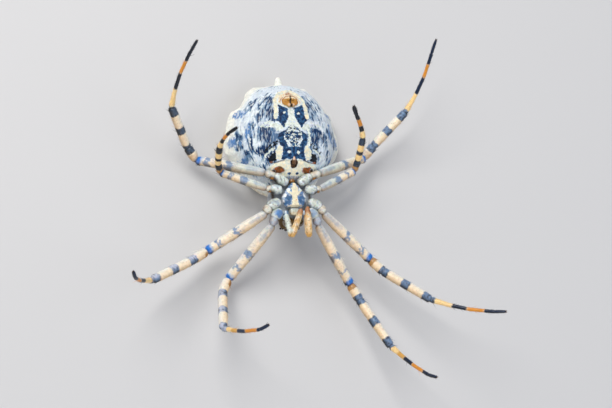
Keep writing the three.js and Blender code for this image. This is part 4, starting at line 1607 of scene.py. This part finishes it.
@dataclass
class Abdomen:
    """The lobed abdomen: one fine skin with its relief, its markings and its sparse hair."""

    grain_mm: float = 0.106
    smoothing: int = 32
    rim_low: float = 3.4  # height where the back ends, mm
    rim_high: float = 5.6  # height where the belly side starts, mm
    poles: tuple[float, float] = (9.5, -9.5)  # places behind and ahead that the streaks run between
    wrinkle_mm: float = 0.045
    lump_mm: float = 0.05
    down: Coat = Coat(2.2, 0.22, 0.006, stand=0.7, curve=0.2)

    def build(self) -> None:
        """Builds and dresses the abdomen."""
        mesh = skin_over("abdomen_skin", ["abdomen"], self.grain_mm, self.smoothing)
        own = BODY.own(points_of(mesh))
        flow = self.flow(own)
        move_points(mesh, points_of(mesh) + normals_of(mesh) * self.relief(own, flow)[:, None] * MM)
        self.put_markings(mesh, own)
        put_vector(mesh, "Flow", flow)
        for name, cover in zip(("Streak", "Thread"), self.streak_cover(own)):
            put_number(mesh, name, cover)
        place_piece(new_object(mesh.name, mesh), BELLY_SKIN, ["abdomen"])
        dress(mesh, "abdomen", self.down, (0.0, 1.0, 0.0), smooth_step(0.4, 1.0, own[:, 2]))

    def flow(self, own: np.ndarray) -> np.ndarray:
        """Works out the streamlines that the streaks follow.

        Args:
            own: places in the spider's own mm.

        Returns:
            Which line each place is on, how far along it and on which side of the body.
        """
        rear, front = self.poles
        u = np.abs(own[:, 0])
        to_rear, to_front = np.arctan2(u, rear - own[:, 1]), np.arctan2(u, front - own[:, 1])
        along = np.log(np.hypot(u, own[:, 1] - rear) + 1.0) - np.log(np.hypot(u, own[:, 1] - front) + 1.0)
        return np.stack([to_front - to_rear, along, 3 * np.tanh(own[:, 0] / 1.5)], axis=1)

    @staticmethod
    def across(own: np.ndarray) -> np.ndarray:
        """How far out each place counts for the streaks: the right flank's lie closer in."""
        return np.abs(own[:, 0]) * (1 + 0.14 * smooth_step(1.0, 4.0, own[:, 0]))

    def belly(self, own: np.ndarray) -> np.ndarray:
        """How much each place is on the belly side, from 0 to 1."""
        return smooth_step(self.rim_low, self.rim_high, own[:, 2])

    def relief(self, own: np.ndarray, flow: np.ndarray) -> np.ndarray:
        """Works out how far the skin stands proud: wrinkles, furrows, pits, plates and notches.

        Args:
            own: places in the spider's own mm.
            flow: their streamline numbers.

        Returns:
            Heights in mm.
        """
        u, v = np.abs(own[:, 0]), own[:, 1]
        height = GRAIN(own, 0.7) * self.lump_mm
        height += GRAIN(flow * (26.0, 3.0, 1.0), 1.0) * self.wrinkle_mm * smooth_step(2.5, 4.5, u)
        belly = self.belly(own)
        for path, depth in FURROWS:
            height += belly * depth * smooth_step(-0.15, 0.1, stroke(u, v, path))
        height += belly * 0.1 * smooth_step(-0.1, 0.25, oval(u, v, (2.3, -5.85), (0.95, 0.5)))
        height -= belly * 0.08 * smooth_step(0.0, 0.15, oval(u, v, (0.42, -4.6), (0.35, 0.6)))
        for place in BACK_PITS:
            height -= (1 - belly) * 0.14 * smooth_step(-0.05, 0.2, oval(u, v, place, (0.35, 0.28)))
        for place, size, depth in NOTCHES:
            notch = smooth_step(-0.6, 0.6, oval(own[:, 0], v, place, size))
            height -= depth * notch * smooth_step(0.6, 2.2, own[:, 2])
        return np.where(own[:, 2] < 0.3, np.minimum(height, 0), height)

    def put_markings(self, mesh: bpy.types.Mesh, own: np.ndarray) -> None:
        """Stores the ground colour, how far inside each pigment each place is, and the full paint.

        Args:
            mesh: the skin's mesh.
            own: its vertices in the spider's own mm.
        """
        u = np.abs(own[:, 0]) + GRAIN(own + 20, 1.3) * 0.12 + GRAIN(own + 25, 0.45) * 0.07
        v = own[:, 1] + GRAIN(own + 80, 1.3) * 0.12 + GRAIN(own + 85, 0.45) * 0.07
        paint = self.ground(own, u, v)
        put_paint(mesh, paint, "Ground")
        depths = {marking.word: own[:, 2] - 40 for marking in MARKINGS}
        for mark in BELLY_MARKS:
            depth = np.minimum(mark.depth(u, v), (own[:, 2] - 6.1) * 0.5)
            depth = np.where(own[:, 0] * mark.only < 0, -1.0, depth)
            for word, other in depths.items():
                if word == MARKING_OF[mark.tint]:
                    depths[word] = np.maximum(other, depth)
                elif mark.most == 1.0:
                    depths[word] = np.minimum(other, -depth)
            paint.lay(mark.tint, smooth_step(-0.05, 0.05, depth))
        for word, depth in depths.items():
            put_number(mesh, word + " depth", np.clip(depth, -1, 1))
        put_paint(mesh, paint)

    def ground(self, own: np.ndarray, u: np.ndarray, v: np.ndarray) -> Paint:
        """Paints what lies under the markings: silver with soft washes, the rim and the back.

        Args:
            own: places in the spider's own mm.
            u: how far they are from the middle line, a little ragged.
            v: how far they are towards the tail, a little ragged.

        Returns:
            The paint.
        """
        wander = GRAIN(own, 0.45) * 0.7 + GRAIN(own + 50, 0.18) * 0.5
        paint = Paint(len(own), Tint.SILVER)
        paint.lay(Tint.WHITE, smooth_step(-0.2, 0.7, GRAIN(own + 10, 0.9)) * 0.6)
        belly = self.belly(own)
        top = smooth_step(5.6, 6.6, own[:, 2])
        for wash in BELLY_WASHES:
            paint.lay(wash.tint, wash.cover(self.across(own), v, wander) * top)
        paint.lay(Tint.RIM_WHITE, 1 - smooth_step(3.4, 5.2, own[:, 2] + 0.4 * wander))
        for place, size in RIM_SPOTS:
            spot = smooth_step(-0.2, 0.3, oval(u, v, place, size) + 0.5 * wander)
            paint.lay(Tint.LAKE, 0.95 * spot * smooth_step(2.6, 3.6, own[:, 2]))
        return self.paint_back(paint, own, u, v, 1 - belly)

    @staticmethod
    def paint_back(paint: Paint, own: np.ndarray, u: np.ndarray, v: np.ndarray,
                   back: np.ndarray) -> Paint:
        """Paints the back: silver with tan bars between the lobes and dark pits.

        Args:
            paint: the paint so far.
            own: places in the spider's own mm.
            u: how far they are from the middle line, a little ragged.
            v: how far they are towards the tail, a little ragged.
            back: how much each is on the back, from 0 to 1.

        Returns:
            The paint.
        """
        low = back * (1 - smooth_step(1.6, 2.6, own[:, 2]))
        bars = smooth_step(0.55, 0.95, np.cos(2 * math.pi * (v - 0.6 * u) / 3.4) + 0.3 * GRAIN(own, 0.6))
        paint.lay(Tint.SAND, low * bars * 0.7 * smooth_step(0.8, 3.0, u))
        paint.lay(Tint.BROWN, low * smooth_step(0.3, 0.7, GRAIN(own + 5, 0.35)) * 0.25)
        for place in BACK_PITS:
            pit = smooth_step(-0.05, 0.1, oval(u, v, place, (0.3, 0.24)))
            paint.lay(Tint.RUST, low * pit * 0.85)
        return paint

    def streak_cover(self, own: np.ndarray) -> tuple[np.ndarray, np.ndarray]:
        """Works out how thickly slate streaks, and white threads over them, cross the skin.

        Args:
            own: places in the spider's own mm.

        Returns:
            The cover of the streaks and of the threads.
        """
        u = self.across(own) + GRAIN(own + 35, 0.9) * 0.35
        v, high = own[:, 1] + GRAIN(own + 45, 0.9) * 0.35, own[:, 2]
        flank = smooth_step(2.4, 3.6, np.hypot(u, (v + 0.3) * 0.72))
        more = sum(share * smooth_step(-0.5, 0.35, shape(u, v, *sizes)) for shape, sizes, share in STREAKED)
        rise = 0.3 + 0.7 * smooth_step(3.4, 5.2, high)
        rear = 1 - 0.25 * smooth_step(5.5, 7.0, v)
        here = flank * rise * rear * (0.6 + 0.4 * smooth_step(0.3, 1.2, u))
        lean = 0.5 + 0.08 * GRAIN(own + 60, 1.8) - 0.004 * own[:, 0]
        return here * (lean + more), here * np.clip(0.85 - 3 * more, 0.1, 1)


# ---- head and body plates ------------------------------------------------------------------


@dataclass
class Carapace:
    """The flat pear-shaped shell over the head and chest, with its silvery hair."""

    grain_mm: float = 0.1
    smoothing: int = 16
    down: Coat = Coat(26.0, 0.36, 0.007, stand=0.25, curve=0.35)

    def build(self) -> None:
        """Builds and dresses the carapace."""
        mesh = skin_over("carapace_skin", ["carapace"], self.grain_mm, self.smoothing)
        own = BODY.own(points_of(mesh))
        u, v = np.abs(own[:, 0]), own[:, 1]
        grooves = sum(smooth_step(-0.12, 0.05, stroke(u, v, ((0.5, -9.6, 0.08), (reach, end, 0.04))))
                      for reach, end in ((2.6, -7.6), (3.0, -8.8), (3.0, -10.2), (2.4, -11.6)))
        fovea = smooth_step(-0.2, 0.2, oval(u, v, (0, -9.3), (0.3, 0.9)))
        back = 1 - smooth_step(4.5, 5.5, own[:, 2])
        drop = (0.06 * grooves + 0.22 * fovea) * back - 0.02 * GRAIN(own, 0.4)
        move_points(mesh, points_of(mesh) - normals_of(mesh) * drop[:, None] * MM)
        paint = Paint(len(own), Tint.SAND)
        paint.lay(Tint.BROWN, 0.35 + 0.25 * GRAIN(own, 0.8))
        paint.lay(Tint.DARK_BROWN, 0.7 * np.clip(grooves + fovea, 0, 1) * back)
        paint.lay(Tint.SILVER, 0.6 * smooth_step(-0.2, 0.5, GRAIN(own + 9, 0.5)) * back)
        under = np.maximum(smooth_step(3.8, 5.0, own[:, 2]), smooth_step(15.0, 16.0, -v))
        # The belly side and the front go olive and dark brown: partly the soft skin's own colour, partly
        # painted shade in the gaps round the coxae and at the front.
        paint.lay(Tint.OLIVE, under).lay(Tint.DARK_BROWN, 0.5 * under)
        soft_skin = smooth_step(-0.5, 0.1, oval(u, v, (0, -9.8), (2.6, 3.0)))
        hairy_rim = smooth_step(2.9, 3.4, u + 0.2 * GRAIN(own, 0.4))
        paint.lay(Tint.SILVER, np.maximum(0.75 * soft_skin, 0.7 * hairy_rim) * under)
        put_paint(mesh, paint)
        place_piece(new_object(mesh.name, mesh), CARAPACE_SHELL, ["carapace"])
        outward = np.stack([own[:, 0] * 0.35, v + 9.3, np.zeros(len(own))], axis=1)
        outward /= np.linalg.norm(outward, axis=1)[:, None] + 1e-6
        dress(mesh, "carapace", self.down, outward, back * (1 - under))


@dataclass(frozen=True)
class Plate:
    """A small body part that keeps its CAD shape under a fine painted skin."""

    node: str
    finish: Finish
    painter: Callable[[np.ndarray], Paint]
    grain_mm: float = 0.05
    smoothing: int = 16
    relief: Callable[[np.ndarray], np.ndarray] | None = None

    def build(self) -> bpy.types.Object:
        """Builds and dresses the part.

        Returns:
            The finished piece.
        """
        mesh = skin_over(self.node + "_skin", [self.node], self.grain_mm, self.smoothing)
        own = BODY.own(points_of(mesh))
        if self.relief:
            move_points(mesh, points_of(mesh) + normals_of(mesh) * self.relief(own)[:, None] * MM)
        put_paint(mesh, self.painter(own))
        return place_piece(new_object(mesh.name, mesh), self.finish, [self.node])


def paint_sternum(own: np.ndarray) -> Paint:
    """Paints the sternum: cream down the middle, slate at the sides and white by the edge.

    Args:
        own: places on it in the spider's own mm.

    Returns:
        The paint.
    """
    u, v = np.abs(own[:, 0]) + 0.1 * GRAIN(own, 0.6), own[:, 1] + 0.08 * GRAIN(own + 4, 0.5)
    wander = 0.08 * GRAIN(own, 0.25)
    paint = Paint(len(own), Tint.HAZE)
    paint.lay(Tint.LAKE, 0.7 * smooth_step(-0.5, 0.3, GRAIN(own + 2, 0.6)))
    paint.lay(Tint.SILVER, 0.8 * smooth_step(0.0, 0.4, GRAIN(own, 0.3)))
    paint.lay(Tint.NAVY, 0.6 * smooth_step(0.1, 0.5, GRAIN(own + 7, 0.36)))
    for place in ((1.2, -10.95), (1.15, -10.2)):
        paint.lay(Tint.STEEL, 0.9 * smooth_step(-0.15, 0.1, oval(u, v, place, (0.45, 0.3)) + wander))
    for place, size in (((1.65, -9.85), (0.3, 0.35)), ((1.0, -8.9), (0.32, 0.25)),
                        ((1.75, -10.7), (0.15, 0.3))):
        paint.lay(Tint.WHITE, smooth_step(-0.08, 0.08, oval(u, v, place, size) + wander))
    middle = ((0.0, -7.7, 0.12), (0.0, -8.9, 0.55), (0.0, -9.4, 0.5), (0.0, -10.0, 0.42),
              (0.0, -10.8, 0.52), (0.0, -11.7, 0.6))
    paint.lay(Tint.CREAM, smooth_step(-0.07, 0.07, stroke(u, v, middle) + wander))
    for arm in (((0.3, -9.7, 0.2), (0.75, -9.45, 0.16), (1.1, -9.1, 0.1)),
                ((0.4, -11.5, 0.14), (1.1, -11.5, 0.1))):
        paint.lay(Tint.CREAM, 0.9 * smooth_step(-0.07, 0.07, stroke(u, v, arm) + wander))
    fleck = oval(own[:, 0], v, (0.18, -10.6), (0.12, 0.1))
    return paint.lay(Tint.ORANGE, 0.8 * smooth_step(-0.05, 0.05, fleck))


def paint_labium(own: np.ndarray) -> Paint:
    """Paints the labium yellow-white with a greenish root.

    Args:
        own: places on it in the spider's own mm.

    Returns:
        The paint.
    """
    paint = Paint(len(own), Tint.GREEN_WHITE)
    paint.lay(Tint.CREAM, 0.8 * (1 - smooth_step(-12.7, -12.3, own[:, 1])))
    paint.lay(Tint.AMBER, 0.35 * smooth_step(0.0, 0.6, GRAIN(own, 0.3)))
    paint.lay(Tint.STEEL, 0.5 * smooth_step(-12.2, -11.8, own[:, 1]))
    return paint.lay(Tint.BROWN, 0.6 * smooth_step(0.55, 0.75, np.abs(own[:, 0])))


def paint_endite(own: np.ndarray) -> Paint:
    """Paints an endite slate and white with a pale lip towards the middle.

    Args:
        own: places on it in the spider's own mm.

    Returns:
        The paint.
    """
    paint = Paint(len(own), Tint.SLATE)
    paint.lay(Tint.SILVER, smooth_step(-0.4, 0.3, GRAIN(own, 0.3)))
    return paint.lay(Tint.CREAM, 1 - smooth_step(0.5, 0.9, np.abs(own[:, 0])))


def paint_jaw(own: np.ndarray) -> Paint:
    """Paints a jaw olive gold, fading to dark brown at the tip.

    Args:
        own: places on it in the spider's own mm.

    Returns:
        The paint.
    """
    paint = Paint(len(own), Tint.OLIVE)
    paint.lay(Tint.DARK_BROWN, 0.45 + 0.4 * GRAIN(own, 0.45))
    return paint.lay(Tint.BLACK, smooth_step(7.4, 8.4, own[:, 2]) * 0.7)


def paint_waist(own: np.ndarray) -> Paint:
    """Paints the waist tan with brown sides."""
    paint = Paint(len(own), Tint.AMBER)
    return paint.lay(Tint.DARK_BROWN, 0.4 + 0.5 * smooth_step(0.2, 0.7, np.abs(own[:, 0])))


def paint_scape(own: np.ndarray) -> Paint:
    """Paints the scape dark brown at the root and pinkish at the tip."""
    paint = Paint(len(own), Tint.BROWN)
    return paint.lay(Tint.PINK, smooth_step(-4.55, -4.3, own[:, 1]))


def paint_spinnerets(own: np.ndarray) -> Paint:
    """Paints the spinnerets: an amber mound with a dark slit, pale tips that are partly painted highlight,
    and a brown tubercle.

    Args:
        own: places on it in the spider's own mm.

    Returns:
        The paint.
    """
    u, v = np.abs(own[:, 0]), own[:, 1]
    paint = Paint(len(own), Tint.AMBER)
    paint.lay(Tint.RUST, 0.6 * smooth_step(-0.2, 0.5, GRAIN(own, 0.3)))
    # Lighter towards the tips: partly their own pale colour, partly painted highlight.
    paint.lay(Tint.GOLD, 0.9 * smooth_step(8.5, 9.2, own[:, 2]))
    paint.lay(Tint.PINK, 0.7 * smooth_step(9.1, 9.35, own[:, 2]))
    paint.lay(Tint.CREAM, 0.85 * smooth_step(5.45, 5.65, v))
    arc = stroke(u, v, ((1.2, 5.5, 0.06), (0.6, 5.95, 0.08), (0.0, 6.0, 0.1)))
    paint.lay(Tint.RUST, 0.85 * smooth_step(-0.05, 0.05, arc))
    paint.lay(Tint.RUST, 0.9 * smooth_step(6.15, 6.4, v) * (1 - smooth_step(0.45, 0.65, u)))
    slit = stroke(u, v, ((0.0, 4.1, 0.2), (0.0, 4.8, 0.16), (0.0, 6.0, 0.09)))
    return paint.lay(Tint.DARK_BROWN, 0.95 * smooth_step(-0.06, 0.05, slit))


def paint_palp(own: np.ndarray) -> Paint:
    """Paints a palp golden sand with brown specks and a red tip; the left one's root segment is whitish.

    Args:
        own: places on it in the spider's own mm.

    Returns:
        The paint.
    """
    paint = Paint(len(own), Tint.SAND)
    paint.lay(Tint.GOLD, 0.2 + 0.5 * smooth_step(-0.2, 0.5, GRAIN(own + 3, 0.5)))
    paint.lay(Tint.GREEN_WHITE, 1 - smooth_step(-1.3, -1.0, own[:, 0] + 0.12 * (own[:, 1] + 14)))
    paint.lay(Tint.GOLD, 0.9 * (1 - smooth_step(-16.4, -15.6, own[:, 1])))
    paint.lay(Tint.WHITE, 0.35 * smooth_step(0.1, 0.5, GRAIN(own + 40, 0.4)))
    root = smooth_step(-13.4, -12.6, own[:, 1]) * smooth_step(-1.1, -0.8, own[:, 0])
    paint.lay(Tint.RUST, 0.75 * root)
    return paint.lay(Tint.BROWN, 0.6 * smooth_step(0.42, 0.62, GRAIN(own, 0.14)))


def palp_relief(own: np.ndarray) -> np.ndarray:
    """How far the palps' hairy skin stands off the solid shape, in mm."""
    return 0.07 + 0.04 * GRAIN(own, 0.35)


@dataclass(frozen=True)
class Eyes:
    """The eight small glossy eyes, each a smooth ball in place of its CAD node."""

    rows: tuple[str, ...] = ("front_median", "rear_median", "front_lateral", "rear_lateral")
    steps: int = 16

    def build(self) -> None:
        """Builds and dresses the eyes."""
        walls = [wall[::-1] for wall in ring_walls(self.steps - 1, self.steps)]
        for side, row in itertools.product(Side, self.rows):
            node = f"eye_{side.word}_{row}"
            low, high = (np.array(corner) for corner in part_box(node))
            places = (low + high) / 2 + self.ball() * (high - low) / 2
            mesh = mesh_from(node + "_ball", places, wall_points(walls))
            place_piece(new_object(mesh.name, mesh), EYE, [node])

    def ball(self) -> np.ndarray:
        """Works out the points of a ball, its rings from the top down and then its poles.

        Returns:
            Places one unit from the middle.
        """
        fall = (math.pi * np.arange(1, self.steps) / self.steps)[:, None]
        turn = 2 * math.pi * np.arange(self.steps)[None] / self.steps
        rings = np.stack(np.broadcast_arrays(np.sin(fall) * np.cos(turn), np.sin(fall) * np.sin(turn),
                                             np.cos(fall)), axis=-1)
        return np.concatenate([rings.reshape(-1, 3), [(0, 0, 1), (0, 0, -1)]])


@dataclass(frozen=True)
class Mouthparts:
    """One side's palp, jaw and mouth plate."""

    side: Side
    palp_down: Coat = Coat(16.0, 0.4, 0.009, stand=0.6)
    palp_lie: tuple[float, float, float] = (0.0, -1.0, 0.3)

    def build(self) -> None:
        """Builds and dresses them."""
        palp = "palp_" + self.side.word
        skin = Plate(palp, PALP_SKIN, paint_palp, relief=palp_relief).build().data
        dress(skin, palp, self.palp_down, self.palp_lie)
        Plate("chelicera_" + self.side.word, JAW_SHELL, paint_jaw).build()
        Plate("endite_" + self.side.word, MOUTH_SHELL, paint_endite).build()


MIDDLE_PLATES = (
    Plate("sternum", STERNUM_SHELL, paint_sternum, grain_mm=0.045),
    Plate("labium", MOUTH_SHELL, paint_labium, grain_mm=0.04),
    Plate("pedicel", SHELL, paint_waist, grain_mm=0.06),
    Plate("epigyne", SCAPE_SHELL, paint_scape, grain_mm=0.035),
    Plate("spinnerets", SPINNERET_SKIN, paint_spinnerets),
)


# ---- studio --------------------------------------------------------------------------------


@dataclass(frozen=True)
class Studio:
    """The pale floor, the soft lights and the camera."""

    aim: tuple[float, float, float] = (0.06, -9.8, 8.3)  # a place on the spider, mm
    seen_at: tuple[float, float, float] = (-1.7205, 1.395, -263.5)  # that place from the camera, mm
    turns: tuple[float, float, float] = (17.0, -12.0, 3.2)  # the body's turns before the camera
    lens_mm: float = 100.0
    floor_m: float = 3.0

    def build(self) -> None:
        """Sets the stage."""
        self.place_camera()
        self.lay_floor()
        self.hang_lights()

    def place_camera(self) -> None:
        """Places the camera and makes it the scene's own."""
        swing, tip, roll = (math.radians(turn) for turn in self.turns)
        turned = (Matrix.Rotation(roll, 3, "Z") @ Matrix.Rotation(tip, 3, "X")
                  @ Matrix.Rotation(swing, 3, "Y")).transposed()
        data = bpy.data.cameras.new("camera")
        data.lens = self.lens_mm
        data.clip_start, data.clip_end = 0.01, 10.0
        camera = new_object("camera", data)
        place = turned.to_4x4()
        place.translation = BODY.at(*self.aim) - turned @ Vector(self.seen_at) * MM
        camera.matrix_world = place
        bpy.context.scene.camera = camera

    def lay_floor(self) -> None:
        """Lays a plain pale floor under the spider."""
        half = self.floor_m / 2
        mesh = mesh_from("floor", np.array([(-half, -half, 0), (half, -half, 0), (half, half, 0),
                                            (-half, half, 0)]), [(0, 1, 2, 3)])
        floor = new_object("floor", mesh)
        made = bpy.data.materials.new("pale floor")
        made.use_nodes = True
        shader = made.node_tree.nodes["Principled BSDF"]
        shader.inputs["Base Color"].default_value = (0.62, 0.62, 0.63, 1)
        shader.inputs["Roughness"].default_value = 0.9
        mesh.materials.append(made)

    @staticmethod
    def hang_lights() -> None:
        """Hangs a soft main light, a fill and a rim light, and brightens the room."""
        for name, place, size, power, colour in (
                ("main light", (-160, 180, 300), 0.22, 1.35, (1.0, 0.97, 0.92)),
                ("fill light", (240, -60, 220), 0.3, 0.3, (0.92, 0.95, 1.0)),
                ("rim light", (-60, -320, 120), 0.3, 0.4, (1.0, 1.0, 1.0))):
            data = bpy.data.lights.new(name, "AREA")
            data.size = size
            data.energy = power
            data.color = colour
            light = new_object(name, data)
            light.location = BODY.at(*place)
            light.rotation_euler = (light.location - BODY.at(0, 0, 5)).to_track_quat("Z", "Y").to_euler()
        world = bpy.data.worlds.new("pale room")
        world.use_nodes = True
        world.node_tree.nodes["Background"].inputs["Color"].default_value = (0.86, 0.9, 1.0, 1)
        world.node_tree.nodes["Background"].inputs["Strength"].default_value = 0.3
        bpy.context.scene.world = world
        bpy.context.scene.view_settings.view_transform = "Standard"


def main() -> None:
    """Builds the spider part by part."""
    logging.basicConfig(level=logging.INFO, format="%(message)s")
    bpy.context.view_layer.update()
    Studio().build()
    Abdomen().build()
    Carapace().build()
    for side in Side:
        for number in range(1, 5):
            Leg(side, number).build()
        Mouthparts(side).build()
    for plate in MIDDLE_PLATES:
        plate.build()
    Eyes().build()


if __name__ == "__main__":
    main()
